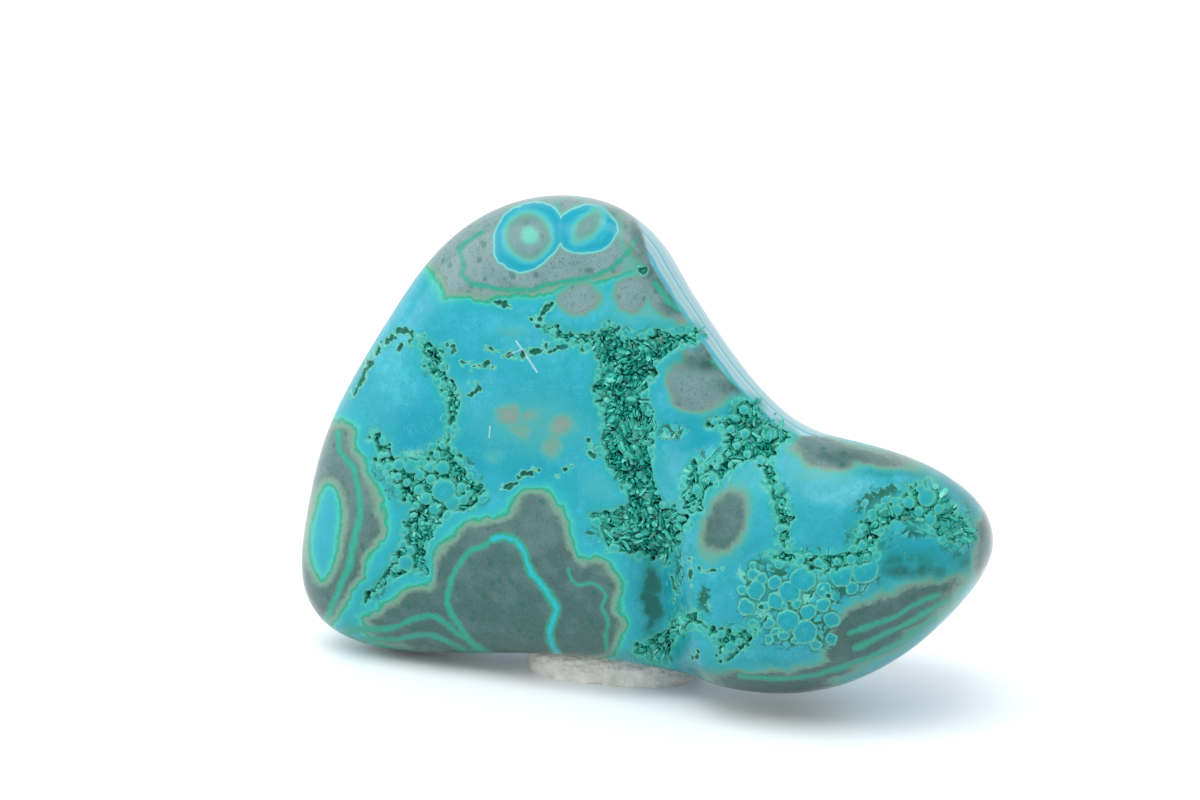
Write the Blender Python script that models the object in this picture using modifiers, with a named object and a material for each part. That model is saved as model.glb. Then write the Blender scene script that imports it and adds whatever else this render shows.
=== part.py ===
"""A polished freeform of chrysocolla and malachite, standing on edge on a pad of putty.

Metres, +Z up. The polished face looks along -Y and the long side runs along X. The origin is on the
surface that the stone stands on.
"""

import math

import bmesh
import bpy
import numpy as np
from mathutils import Matrix, Vector
from mathutils.bvhtree import BVHTree
from mathutils.geometry import delaunay_2d_cdt

MM = 0.001

# The widest section of the stone, going round from the left end over the top: x and z in
# millimetres, then how softly the front edge is rounded there, from 0 for crisp to 1 for a pebble.
OUTLINE = (
    (-44.8, 8.0, 1.0),
    (-43.3, 17.2, 1.0),
    (-41.0, 26.9, 1.0),
    (-35.5, 35.6, 0.9),
    (-29.2, 44.0, 0.8),
    (-22.3, 52.5, 0.7),
    (-13.5, 57.5, 0.6),
    (-4.0, 58.4, 0.4),
    (2.0, 57.0, 0.1),
    (6.0, 54.4, 0.0),
    (8.6, 50.2, 0.0),
    (12.0, 45.8, 0.0),
    (15.8, 41.2, 0.0),
    (20.0, 37.0, 0.0),
    (24.6, 33.8, 0.1),
    (31.0, 32.8, 0.4),
    (38.0, 30.5, 0.6),
    (43.8, 26.0, 0.7),
    (45.0, 20.2, 0.8),
    (40.9, 14.2, 0.9),
    (34.9, 8.0, 1.0),
    (27.6, 3.2, 1.0),
    (18.4, 1.0, 1.0),
    (7.0, 3.3, 0.8),
    (-5.0, 3.7, 0.7),
    (-18.0, 1.9, 0.8),
    (-31.0, -0.2, 0.9),
    (-41.3, 1.4, 1.0),
)

# The rings of the cage from front to back, each as y and inset where the edge is crisp, then as y
# and inset where it is soft, in millimetres.
RINGS = (
    (-11.3, 9.0, -11.0, 13.0),
    (-11.1, 3.0, -9.6, 6.0),
    (-10.6, 0.2, -6.4, 1.8),
    (-8.6, -0.2, -2.5, 0.0),
    (-3.5, 0.8, 3.0, 0.0),
    (2.0, 4.2, 9.0, 2.2),
    (9.5, 9.6, 16.0, 7.0),
    (15.5, 15.0, 18.0, 13.0),
)
# The insets run towards this line through the middle of the stone, given by the x and z of its
# ends. Its left two thirds swell upwards, and a crisp edge draws in to the left of where it stands.
SPINE = ((-24.0, 22.0), (27.0, 17.0))
SPINE_SWELL = 9.0
SPINE_SWELL_SHARE = 2.0 / 3.0
CRISP_LEAN = 14.0
LARGEST_INSET_SHARE = 0.7
# The front and the back close with one more ring, this share of the way in to the spine.
CLOSING_SHARE = 0.55
FRONT_MIDDLE_Y = -11.6
BACK_MIDDLE_Y = 18.6
SUBDIVISIONS = 3
SHARP_DEGREES = 40.0

# The right lobe stands proud of the face, and a groove parts it from the rest.
LOBE_PROUD = 3.2
LOBE_LEFT_X = (8.4, 14.4)
LOBE_RIGHT_X = (30.0, 42.0)
LOBE_TOP_Z = (26.0, 35.0)
GROOVE_LEFT_WIDTH = 4.6
GROOVE_DEPTH = 2.6
GROOVE_TOP_Z = (17.0, 26.0)
FACE_FADE_Y = (-10.5, -2.0)

# Outlines of hollows are drawn on the plane y = DRAWING_Y and slide along DRAWING_SLANT onto the
# stone, as (x, z) in millimetres.
DRAWING_Y = -11.0
DRAWING_SLANT = Vector((-0.532, 1.0, -0.230))
RAY_START = 30.0

HOLLOWS = {
    "left": (
        (-21.3, 40.6), (-20.0, 40.1), (-19.0, 39.6), (-18.9, 38.0), (-18.2, 36.4), (-16.5, 35.0),
        (-16.5, 33.8), (-17.4, 32.4), (-17.4, 30.4), (-17.6, 28.8), (-17.9, 27.0), (-17.2, 25.6),
        (-15.9, 24.4), (-13.0, 24.0), (-13.6, 22.6), (-15.6, 21.2), (-17.8, 21.0), (-19.6, 19.6),
        (-20.2, 18.4), (-21.6, 16.2), (-21.7, 13.0), (-23.9, 12.5), (-26.6, 11.2), (-28.4, 9.4),
        (-30.4, 9.0), (-28.4, 11.6), (-27.3, 13.2), (-26.0, 15.8), (-24.8, 17.4), (-23.9, 19.6),
        (-23.6, 21.6), (-25.2, 23.2), (-27.6, 24.2), (-27.6, 26.0), (-25.0, 26.0), (-21.8, 25.7),
        (-20.3, 26.3), (-20.6, 28.2), (-19.2, 29.3), (-19.2, 31.4), (-19.8, 33.2), (-20.4, 35.2),
        (-20.9, 37.0), (-22.0, 37.9),
    ),
    "centre": (
        (1.4, 44.4), (2.4, 45.0), (3.6, 44.2), (5.8, 43.3), (7.4, 44.4), (10.4, 44.7),
        (12.4, 44.4), (13.6, 44.9), (13.4, 43.9), (11.2, 42.8), (9.6, 41.8), (8.3, 40.0),
        (7.6, 38.1), (7.9, 36.4), (8.4, 34.2), (11.6, 34.6), (10.6, 33.2), (8.3, 32.4),
        (7.8, 30.4), (7.8, 27.6), (9.0, 24.9), (12.5, 23.3), (12.2, 22.2), (11.1, 21.4),
        (10.6, 19.8), (10.2, 17.0), (8.9, 17.6), (6.1, 17.4), (3.0, 18.9), (1.5, 19.5),
        (0.2, 21.4), (-0.1, 22.8), (2.4, 22.8), (4.8, 23.6), (5.0, 26.3), (3.8, 27.8),
        (1.8, 29.2), (1.4, 31.6), (1.7, 34.2), (0.7, 36.2), (0.7, 37.8), (1.6, 39.4),
        (1.8, 41.4), (0.6, 42.0), (-1.4, 42.3), (-4.6, 43.1), (-4.9, 44.2), (-2.8, 43.9),
        (-0.6, 43.6),
    ),
    "right": (
        (14.6, 35.0), (16.0, 35.7), (17.6, 35.8), (18.6, 37.0), (20.6, 37.6), (20.6, 35.8),
        (22.0, 34.6), (24.0, 34.4), (25.6, 34.7), (24.4, 33.1), (23.2, 31.6), (23.6, 29.6),
        (24.0, 27.4), (25.9, 27.6), (25.0, 25.9), (25.0, 24.2), (25.4, 22.8), (23.3, 22.6),
        (23.3, 25.8), (21.8, 27.6), (21.4, 30.2), (19.5, 30.2), (17.0, 28.8), (14.9, 27.1),
        (13.8, 25.6), (13.0, 24.3), (11.9, 25.4), (11.5, 27.6), (12.5, 29.7), (14.9, 29.0),
        (15.3, 30.8), (16.8, 32.4), (16.6, 34.0),
    ),
    "lobe": (
        (21.6, 21.6), (24.0, 22.0), (26.4, 22.2), (29.8, 22.0), (31.6, 22.4), (32.4, 24.9),
        (33.4, 26.4), (36.4, 27.8), (38.6, 29.9), (40.2, 31.0), (42.0, 30.4), (42.6, 28.2),
        (43.6, 26.9), (45.8, 27.2), (45.4, 24.6), (43.8, 23.5), (41.4, 24.5), (39.2, 25.6),
        (36.4, 25.8), (34.8, 24.4), (34.8, 22.4), (37.6, 20.7), (35.0, 20.4), (31.0, 19.8),
        (27.4, 19.6), (23.6, 19.8),
    ),
    "lower": (
        (5.6, 7.0), (6.2, 8.2), (7.8, 9.4), (9.2, 9.8), (9.8, 11.0), (10.8, 12.4), (12.6, 12.8),
        (14.2, 12.5), (16.4, 11.6), (19.9, 11.4), (19.0, 9.4), (17.8, 8.0), (16.4, 7.4),
        (16.2, 9.2), (15.4, 10.5), (13.2, 11.1), (11.4, 10.0), (10.2, 9.0), (10.4, 7.4),
        (9.2, 5.9), (7.3, 6.4),
    ),
}
HOLLOW_DEPTH = 2.8
# How far a cutter stands out in front of the face.
CUTTER_REACH = 8.0
CRUST_CLEARANCE = 0.36
CRUST_LEAST_CLEARANCE = 0.25
LINE_CHECKS = (0.2, 0.35, 0.5, 0.65, 0.8)
CRUST_FLOOR_CLEARANCE = 1.0
CRUST_SPACING = 0.95
CRUST_LEAST_SPACING = 0.475
FLOOR_SPACING = 2.2
FLOOR_MARGIN = 0.88
# How far the crystals' tips stand below the polished face.
CRUST_TOP = (0.25, 1.35)
# A crust has a row of points just inside its edge, and a fill this much further in.
CRUST_EDGE_INSET = 0.08
CRUST_FILL_INSET = 0.3
CRUST_CORNER_INSET = 1.25
STRAIGHT_CORNER = 1e-3
FILL_JITTER = 0.25
SEED = 7

# The pad of putty under the middle of the stone.
PAD_CENTRE = (-4.6, 4.5, 1.1)
PAD_SIZE = (21.2, 15.6, 6.8)
# From 2 for an ellipsoid towards a box, then degrees about the vertical.
PAD_SQUARENESS = 2.8
PAD_TURN = 8.0
PAD_CLEARANCE = 0.35
PAD_SEGMENTS = 28

STONE_TRIANGLES = 4600

# All of it is modelled about the drawing plane, then moved so that the origin is under its middle.
ORIGIN_MOVE = Vector((-0.1, -1.9, 0.0))


def clear_scene():
    for obj in list(bpy.data.objects):
        bpy.data.objects.remove(obj, do_unlink=True)


def collection_named(name):
    collection = bpy.data.collections.new(name)
    bpy.context.scene.collection.children.link(collection)
    return collection


def principled(name, colour, roughness, metallic=0.0):
    material = bpy.data.materials.new(name)
    material.use_nodes = True
    shader = material.node_tree.nodes["Principled BSDF"]
    shader.inputs["Base Color"].default_value = (*colour, 1.0)
    shader.inputs["Roughness"].default_value = roughness
    shader.inputs["Metallic"].default_value = metallic
    return material


def new_object(name, bm, collection, material=None):
    mesh = bpy.data.meshes.new(name)
    bm.to_mesh(mesh)
    bm.free()
    if material:
        mesh.materials.append(material)
    obj = bpy.data.objects.new(name, mesh)
    collection.objects.link(obj)
    return obj


def evaluated_bmesh(obj):
    """The object's mesh with its modifiers applied, as a new bmesh."""
    graph = bpy.context.evaluated_depsgraph_get()
    bm = bmesh.new()
    bm.from_mesh(obj.evaluated_get(graph).data)
    return bm


def keep_evaluated(obj):
    """Replaces the object's mesh by what its modifiers make of it."""
    bm = evaluated_bmesh(obj)
    obj.modifiers.clear()
    bm.to_mesh(obj.data)
    bm.free()


def shade(mesh):
    """Rounds look round, and the crisp edge stays crisp."""
    mesh.shade_smooth()
    mesh.set_sharp_from_angle(angle=math.radians(SHARP_DEGREES))


def smoothstep(low, high, value):
    t = min(max((value - low) / (high - low), 0.0), 1.0)
    return t * t * (3.0 - 2.0 * t)


def spine_point(x):
    """The point of the spine that an outline point at this x draws in towards."""
    (left_x, left_z), (right_x, right_z) = SPINE
    t = (min(max(x, left_x), right_x) - left_x) / (right_x - left_x)
    swell = SPINE_SWELL * math.sin(math.pi * min(1.0, t / SPINE_SWELL_SHARE))
    return Vector((left_x + t * (right_x - left_x), left_z + t * (right_z - left_z) + swell))


def stone_cage():
    """Rings of quads from the front to the back, closed by a face at each end."""
    bm = bmesh.new()
    rings = []
    for crisp_y, crisp_inset, soft_y, soft_inset in RINGS:
        ring = []
        for x, z, softness in OUTLINE:
            y = crisp_y + softness * (soft_y - crisp_y)
            inset = crisp_inset + softness * (soft_inset - crisp_inset)
            towards = spine_point(x - CRISP_LEAN * (1.0 - softness)) - Vector((x, z))
            inset = min(inset, LARGEST_INSET_SHARE * towards.length)
            place = Vector((x, z)) + towards.normalized() * inset
            ring.append(bm.verts.new((place.x * MM, y * MM, place.y * MM)))
        rings.append(ring)
    count = len(OUTLINE)
    for front, back in zip(rings, rings[1:]):
        for i in range(count):
            j = (i + 1) % count
            bm.faces.new((front[i], front[j], back[j], back[i]))
    for ring, middle_y in ((rings[0], FRONT_MIDDLE_Y), (rings[-1], BACK_MIDDLE_Y)):
        inner = []
        for vertex, (x, _, _) in zip(ring, OUTLINE):
            edge = Vector((vertex.co.x, vertex.co.z))
            place = edge.lerp(spine_point(x) * MM, CLOSING_SHARE)
            inner.append(bm.verts.new((place.x, middle_y * MM, place.y)))
        for i in range(count):
            j = (i + 1) % count
            bm.faces.new((ring[i], ring[j], inner[j], inner[i]))
        bm.faces.new(inner)
    bmesh.ops.recalc_face_normals(bm, faces=bm.faces)
    return bm


def face_relief(x, z):
    """How far the polished face is pushed back at this place, all in millimetres."""
    valley_x, lobe_x = LOBE_LEFT_X
    rise = smoothstep(valley_x, lobe_x, x)
    lobe = rise * (1.0 - smoothstep(*LOBE_RIGHT_X, x)) * (1.0 - smoothstep(*LOBE_TOP_Z, z))
    groove = smoothstep(valley_x - GROOVE_LEFT_WIDTH, valley_x, x) * (1.0 - rise)
    groove *= 1.0 - smoothstep(*GROOVE_TOP_Z, z)
    return GROOVE_DEPTH * groove - LOBE_PROUD * lobe


def shape_face(mesh):
    """Gives the front its groove and its lobe, fading out towards the widest section."""
    for vertex in mesh.vertices:
        x, y, z = vertex.co / MM
        front = 1.0 - smoothstep(*FACE_FADE_Y, y)
        vertex.co.y += face_relief(x, z) * front * MM


def make_stone(collection, material):
    stone = new_object("stone", stone_cage(), collection, material)
    smooth = stone.modifiers.new("smooth", "SUBSURF")
    smooth.levels = SUBDIVISIONS
    smooth.render_levels = SUBDIVISIONS
    keep_evaluated(stone)
    shape_face(stone.data)
    simplify = stone.modifiers.new("simplify", "DECIMATE")
    faces = sum(len(polygon.vertices) - 2 for polygon in stone.data.polygons)
    simplify.ratio = STONE_TRIANGLES / faces
    keep_evaluated(stone)
    shade(stone.data)
    return stone


def slide_onto(tree, drawn):
    """The place on the stone where a drawn (x, z) point lands."""
    start = Vector((drawn[0] * MM, DRAWING_Y * MM, drawn[1] * MM))
    direction = DRAWING_SLANT.normalized()
    hit, _, _, _ = tree.ray_cast(start - direction * RAY_START * MM, direction)
    if hit is None:
        hit, _, _, _ = tree.find_nearest(start)
    return hit


def face_y(tree, point):
    """The y of the polished face, in millimetres, behind this (x, z) point."""
    start = Vector((point[0] * MM, (DRAWING_Y - RAY_START) * MM, point[1] * MM))
    hit, _, _, _ = tree.ray_cast(start, Vector((0, 1, 0)))
    return hit.y / MM


def inside(point, polygon):
    x, z = point
    found = False
    for (x0, z0), (x1, z1) in zip(polygon, polygon[1:] + polygon[:1]):
        if (z0 > z) != (z1 > z) and x < x0 + (z - z0) * (x1 - x0) / (z1 - z0):
            found = not found
    return found


def distance_to_rim(point, polygon):
    point = np.array(point)
    starts = np.array(polygon)
    along = np.roll(starts, -1, axis=0) - starts
    t = ((point - starts) * along).sum(axis=1) / (along**2).sum(axis=1)
    nearest = starts + np.clip(t, 0.0, 1.0)[:, None] * along
    return float(np.sqrt(((point - nearest) ** 2).sum(axis=1)).min())


def hexagonal_fill(polygon, spacing, margin, random):
    """Points in loose hexagonal order that keep at least the margin from the rim."""
    low = np.min(polygon, axis=0)
    high = np.max(polygon, axis=0)
    row_height = spacing * math.sqrt(3) / 2
    points = []
    for row in range(int((high[1] - low[1]) / row_height) + 1):
        for column in range(int((high[0] - low[0]) / spacing) + 1):
            shift = random.uniform(-FILL_JITTER, FILL_JITTER, 2) * spacing
            x = low[0] + (column + 0.5 * (row % 2)) * spacing + shift[0]
            z = low[1] + row * row_height + shift[1]
            point = (float(x), float(z))
            if inside(point, polygon) and distance_to_rim(point, polygon) >= margin:
                points.append(point)
    return points


def hollow_cutter(name, rim, tree, collection, random):
    """A closed block through the stone's face, its floor following the face at the hollow's depth."""
    polygon = [(point.x / MM, point.z / MM) for point in rim]
    points = polygon + hexagonal_fill(polygon, FLOOR_SPACING, FLOOR_MARGIN, random)
    count = len(rim)
    edges = [(i, (i + 1) % count) for i in range(count)]
    spots, _, faces, _, _, _ = delaunay_2d_cdt([Vector(p) for p in points], edges, [], 1, 1e-6)
    levels = [point.y / MM for point in rim] + [face_y(tree, spot) for spot in spots[count:]]
    bm = bmesh.new()
    outer = []
    floor = []
    for spot, level in zip(spots, levels):
        outer.append(bm.verts.new((spot.x * MM, (level - CUTTER_REACH) * MM, spot.y * MM)))
        floor.append(bm.verts.new((spot.x * MM, (level + HOLLOW_DEPTH) * MM, spot.y * MM)))
    for a, b, c in faces:
        bm.faces.new((outer[a], outer[b], outer[c]))
        bm.faces.new((floor[c], floor[b], floor[a]))
    for i, j in edges:
        bm.faces.new((outer[i], outer[j], floor[j], floor[i]))
    bmesh.ops.recalc_face_normals(bm, faces=bm.faces)
    cutter = new_object(name, bm, collection)
    cutter.hide_render = True
    cutter.display_type = "WIRE"
    return cutter


def crust_points(polygon, random):
    """Points for the crust, in millimetres: a row just inside the rim, then a loose hexagonal fill."""
    corners = [Vector(corner) for corner in polygon]
    inset = CRUST_CLEARANCE + CRUST_EDGE_INSET
    points = []
    for before, corner, after in zip(corners[-1:] + corners[:-1], corners, corners[1:] + corners[:1]):
        halfway = (before - corner).normalized() + (after - corner).normalized()
        if halfway.length > STRAIGHT_CORNER:
            reach = CRUST_CORNER_INSET * inset
            points.extend(corner + side * halfway.normalized() * reach for side in (1, -1))
        along = after - corner
        steps = max(1, round(along.length / CRUST_SPACING))
        across = Vector((along.y, -along.x)).normalized() * inset
        for step in range(steps):
            spot = corner + along * (step + 0.5) / steps
            points.extend((spot + across, spot - across))
    points = [
        tuple(point)
        for point in points
        if inside(point, polygon) and distance_to_rim(point, polygon) > CRUST_CLEARANCE
    ]
    points += hexagonal_fill(polygon, CRUST_SPACING, CRUST_CLEARANCE + CRUST_FILL_INSET, random)
    spread = []
    for point in points:
        if all(math.dist(point, other) > CRUST_LEAST_SPACING for other in spread):
            spread.append(point)
    return spread


def largest_patch(triangles):
    """The largest set of triangles that hang together edge to edge."""
    by_edge = {}
    for index, triangle in enumerate(triangles):
        for i in range(3):
            edge = frozenset((triangle[i], triangle[(i + 1) % 3]))
            by_edge.setdefault(edge, []).append(index)
    patches = []
    left = set(range(len(triangles)))
    while left:
        patch = set()
        waiting = [left.pop()]
        while waiting:
            index = waiting.pop()
            patch.add(index)
            triangle = triangles[index]
            for i in range(3):
                edge = frozenset((triangle[i], triangle[(i + 1) % 3]))
                for other in by_edge[edge]:
                    if other in left:
                        left.discard(other)
                        waiting.append(other)
        patches.append(patch)
    best = max(patches, key=len)
    return [triangles[index] for index in sorted(best)]


def clear_of_rim(a, b, polygon):
    """Whether the straight line between two points of the crust keeps off the rim."""
    spots = [(a[0] + t * (b[0] - a[0]), a[1] + t * (b[1] - a[1])) for t in LINE_CHECKS]
    return all(
        inside(spot, polygon) and distance_to_rim(spot, polygon) > CRUST_LEAST_CLEARANCE
        for spot in spots
    )


def make_crust(name, rim, tree, collection, material, random):
    """A closed, jagged sheet of crystals that follows the floor of a hollow."""
    polygon = [(point.x / MM, point.z / MM) for point in rim]
    points = crust_points(polygon, random)
    spots, _, faces, _, _, _ = delaunay_2d_cdt([Vector(p) for p in points], [], [], 0, 1e-6)
    triangles = [
        tuple(face)
        for face in faces
        if all(
            clear_of_rim(spots[a], spots[b], polygon)
            for a, b in zip(face, face[1:] + face[:1])
        )
    ]
    triangles = largest_patch(triangles)
    bm = bmesh.new()
    top = {}
    bottom = {}
    for i in sorted({i for triangle in triangles for i in triangle}):
        x, z = spots[i]
        level = face_y(tree, (x, z))
        high = level + random.uniform(*CRUST_TOP)
        low = level + HOLLOW_DEPTH - CRUST_FLOOR_CLEARANCE
        top[i] = bm.verts.new((x * MM, high * MM, z * MM))
        bottom[i] = bm.verts.new((x * MM, low * MM, z * MM))
    directed = {(a, b) for t in triangles for a, b in zip(t, t[1:] + t[:1])}
    for a, b, c in triangles:
        bm.faces.new((top[a], top[b], top[c]))
        bm.faces.new((bottom[c], bottom[b], bottom[a]))
    for a, b in sorted(directed):
        if (b, a) not in directed:
            bm.faces.new((top[b], top[a], bottom[a], bottom[b]))
    bmesh.ops.recalc_face_normals(bm, faces=bm.faces)
    bmesh.ops.triangulate(bm, faces=bm.faces)
    return new_object(name, bm, collection, material)


def cut(target, cutter):
    boolean = target.modifiers.new("cut by " + cutter.name, "BOOLEAN")
    boolean.object = cutter
    boolean.operation = "DIFFERENCE"
    boolean.solver = "EXACT"


def make_hollows(stone, parts, cutters, crystal):
    random = np.random.default_rng(SEED)
    bm = evaluated_bmesh(stone)
    tree = BVHTree.FromBMesh(bm)
    bm.free()
    for name, outline in HOLLOWS.items():
        rim = [slide_onto(tree, point) for point in outline]
        cut(stone, hollow_cutter("hollow_" + name, rim, tree, cutters, random))
        make_crust("druse_" + name, rim, tree, parts, crystal, random)


def make_pad(stone, collection, cutters, material):
    """A squeezed lump with a flat underside, its top shaped by the stone that it holds."""
    bm = bmesh.new()
    bmesh.ops.create_uvsphere(bm, u_segments=PAD_SEGMENTS, v_segments=PAD_SEGMENTS // 2, radius=0.5)
    turn = Matrix.Rotation(math.radians(PAD_TURN), 3, "Z")
    for vertex in bm.verts:
        fullness = sum(abs(2.0 * c) ** PAD_SQUARENESS for c in vertex.co) ** (-1.0 / PAD_SQUARENESS)
        squeezed = Vector(c * size for c, size in zip(vertex.co, PAD_SIZE)) * fullness
        vertex.co = (Vector(PAD_CENTRE) + turn @ squeezed) * MM
    pad = new_object("putty_pad", bm, collection, material)
    bm = bmesh.new()
    bm.from_mesh(pad.data)
    geometry = bm.verts[:] + bm.edges[:] + bm.faces[:]
    bmesh.ops.bisect_plane(bm, geom=geometry, plane_co=(0, 0, 0), plane_no=(0, 0, 1), clear_inner=True)
    bmesh.ops.holes_fill(bm, edges=[edge for edge in bm.edges if edge.is_boundary])
    bmesh.ops.recalc_face_normals(bm, faces=bm.faces)
    bm.to_mesh(pad.data)
    bm.free()
    shade(pad.data)
    bm = bmesh.new()
    bm.from_mesh(stone.data)
    bm.normal_update()
    for vertex in bm.verts:
        vertex.co += vertex.normal * PAD_CLEARANCE * MM
    swollen = new_object("stone_with_clearance", bm, cutters)
    swollen.hide_render = True
    swollen.display_type = "WIRE"
    cut(pad, swollen)
    return pad


def main():
    clear_scene()
    parts = collection_named("polished chrysocolla malachite")
    cutters = collection_named("cutters")
    polished = principled("polished stone", (0.05, 0.42, 0.47), 0.12)
    crystal = principled("green crystal", (0.02, 0.30, 0.22), 0.45)
    putty = principled("putty", (0.60, 0.60, 0.56), 0.80)
    stone = make_stone(parts, polished)
    make_pad(stone, parts, cutters, putty)
    make_hollows(stone, parts, cutters, crystal)
    for obj in bpy.data.objects:
        obj.data.transform(Matrix.Translation(ORIGIN_MOVE * MM))


main()
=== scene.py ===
"""The looks of the polished chrysocolla malachite: the stone, its crystals, the putty and the studio.

Lengths are in millimetres until a mesh is made. Marks on the polished face are given as pixels of the
1200 by 800 photograph and land on the stone where the photograph's camera sees them.
"""

import math

import bmesh
import bpy
import numpy as np
from mathutils import Matrix, Vector, noise
from mathutils.bvhtree import BVHTree
from mathutils.geometry import delaunay_2d_cdt


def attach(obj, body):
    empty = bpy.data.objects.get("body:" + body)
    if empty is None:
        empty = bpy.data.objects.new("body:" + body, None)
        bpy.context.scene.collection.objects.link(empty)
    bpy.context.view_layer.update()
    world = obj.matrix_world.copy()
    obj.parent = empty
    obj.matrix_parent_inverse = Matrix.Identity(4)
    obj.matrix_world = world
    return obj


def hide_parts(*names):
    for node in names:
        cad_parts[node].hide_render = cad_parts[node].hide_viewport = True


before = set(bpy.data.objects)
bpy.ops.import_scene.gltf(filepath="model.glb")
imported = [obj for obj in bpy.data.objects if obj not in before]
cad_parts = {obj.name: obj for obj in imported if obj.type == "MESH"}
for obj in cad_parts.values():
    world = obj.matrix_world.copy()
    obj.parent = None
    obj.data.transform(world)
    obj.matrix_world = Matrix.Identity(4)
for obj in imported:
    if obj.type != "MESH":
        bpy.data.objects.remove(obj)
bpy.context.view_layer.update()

MM = 0.001
SEED = 11

# The same form as in the solids: x, z and edge softness round the widest section.
OUTLINE = (
    (-44.8, 8.0, 1.0),
    (-43.3, 17.2, 1.0),
    (-41.0, 26.9, 1.0),
    (-35.5, 35.6, 0.9),
    (-29.2, 44.0, 0.8),
    (-22.3, 52.5, 0.7),
    (-13.5, 57.5, 0.6),
    (-4.0, 58.4, 0.4),
    (2.0, 57.0, 0.1),
    (6.0, 54.4, 0.0),
    (8.6, 50.2, 0.0),
    (12.0, 45.8, 0.0),
    (15.8, 41.2, 0.0),
    (20.0, 37.0, 0.0),
    (24.6, 33.8, 0.1),
    (31.0, 32.8, 0.4),
    (38.0, 30.5, 0.6),
    (43.8, 26.0, 0.7),
    (45.0, 20.2, 0.8),
    (40.9, 14.2, 0.9),
    (34.9, 8.0, 1.0),
    (27.6, 3.2, 1.0),
    (18.4, 1.0, 1.0),
    (7.0, 3.3, 0.8),
    (-5.0, 3.7, 0.7),
    (-18.0, 1.9, 0.8),
    (-31.0, -0.2, 0.9),
    (-41.3, 1.4, 1.0),
)
RINGS = (
    (-11.3, 9.0, -11.0, 13.0),
    (-11.1, 3.0, -9.6, 6.0),
    (-10.6, 0.2, -6.4, 1.8),
    (-8.6, -0.2, -2.5, 0.0),
    (-3.5, 0.8, 3.0, 0.0),
    (2.0, 4.2, 9.0, 2.2),
    (9.5, 9.6, 16.0, 7.0),
    (15.5, 15.0, 18.0, 13.0),
)
SPINE = ((-24.0, 22.0), (27.0, 17.0))
SPINE_SWELL = 9.0
SPINE_SWELL_SHARE = 2.0 / 3.0
CRISP_LEAN = 14.0
LARGEST_INSET_SHARE = 0.7
CLOSING_SHARE = 0.55
FRONT_MIDDLE_Y = -11.6
BACK_MIDDLE_Y = 18.6
LOBE_PROUD = 3.2
LOBE_LEFT_X = (8.4, 14.4)
LOBE_RIGHT_X = (30.0, 42.0)
LOBE_TOP_Z = (26.0, 35.0)
GROOVE_LEFT_WIDTH = 4.6
GROOVE_DEPTH = 2.6
GROOVE_TOP_Z = (17.0, 26.0)
FACE_FADE_Y = (-10.5, -2.0)
HOLLOW_DEPTH = 2.8
PAD_CENTRE = (-4.6, 4.5, 1.1)
PAD_SIZE = (21.2, 15.6, 6.8)
PAD_SQUARENESS = 2.8
PAD_TURN = 8.0
ORIGIN_MOVE = Vector((-0.1, -1.9, 0.0))

# The camera of the photograph, aimed at CAMERA_TARGET before ORIGIN_MOVE.
PHOTO_WIDTH = 1200
PHOTO_HEIGHT = 800
CAMERA_AZIMUTH = 28.0
CAMERA_ELEVATION = 11.5
CAMERA_DISTANCE = 388.0
CAMERA_TARGET = np.array((-4.5, 0.0, 33.5))
LENS = 100.0
SENSOR = 36.0
FOCAL_PIXELS = LENS / SENSOR * PHOTO_WIDTH
PIXELS_PER_MM = 8.6

# How finely the side that the photograph shows is meshed, in pixels.
PATCH_SPACING = 2.3
FINE_SPACING = 1.4
PATCH_VISIBLE = 0.2


def clamp01(value):
    return np.clip(value, 0.0, 1.0)


def smoothstep(low, high, value):
    t = clamp01((value - low) / (high - low))
    return t * t * (3.0 - 2.0 * t)


# Camera model

def camera_axes():
    azimuth = math.radians(CAMERA_AZIMUTH)
    elevation = math.radians(CAMERA_ELEVATION)
    back = np.array(
        (
            math.sin(azimuth) * math.cos(elevation),
            -math.cos(azimuth) * math.cos(elevation),
            math.sin(elevation),
        )
    )
    right = np.array((math.cos(azimuth), math.sin(azimuth), 0.0))
    return right, np.cross(back, right), back


RIGHT, UP, BACK = camera_axes()
CAMERA_PLACE = CAMERA_TARGET + BACK * CAMERA_DISTANCE


def to_pixels(points):
    """Where points, in millimetres, are seen in the photograph."""
    seen = points - CAMERA_PLACE
    depth = -(seen @ BACK)
    u = PHOTO_WIDTH / 2 + FOCAL_PIXELS * (seen @ RIGHT) / depth
    v = PHOTO_HEIGHT / 2 - FOCAL_PIXELS * (seen @ UP) / depth
    return np.stack((u, v), axis=-1)


def pixel_ray(u, v):
    ray = RIGHT * (u - PHOTO_WIDTH / 2) / FOCAL_PIXELS
    ray = ray - UP * (v - PHOTO_HEIGHT / 2) / FOCAL_PIXELS - BACK
    return ray / np.linalg.norm(ray)


# Distances on the photograph, in pixels

def segment_distance(points, starts, ends):
    """The distance from each point to the nearest of the segments."""
    best = np.full(len(points), 1e9)
    for start, end in zip(starts, ends):
        along = end - start
        t = clamp01(((points - start) @ along) / max(along @ along, 1e-9))
        best = np.minimum(best, ((points - start - t[:, None] * along) ** 2).sum(axis=1))
    return np.sqrt(best)


def line_distance(points, line):
    line = np.array(line, float)
    return segment_distance(points, line[:-1], line[1:])


def inside(points, polygon):
    polygon = np.array(polygon, float)
    found = np.zeros(len(points), bool)
    x, y = points[:, 0], points[:, 1]
    for (x0, y0), (x1, y1) in zip(polygon, np.roll(polygon, -1, axis=0)):
        if y0 == y1:
            continue
        crossing = x0 + (y - y0) * (x1 - x0) / (y1 - y0)
        found ^= ((y0 > y) != (y1 > y)) & (x < crossing)
    return found


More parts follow.
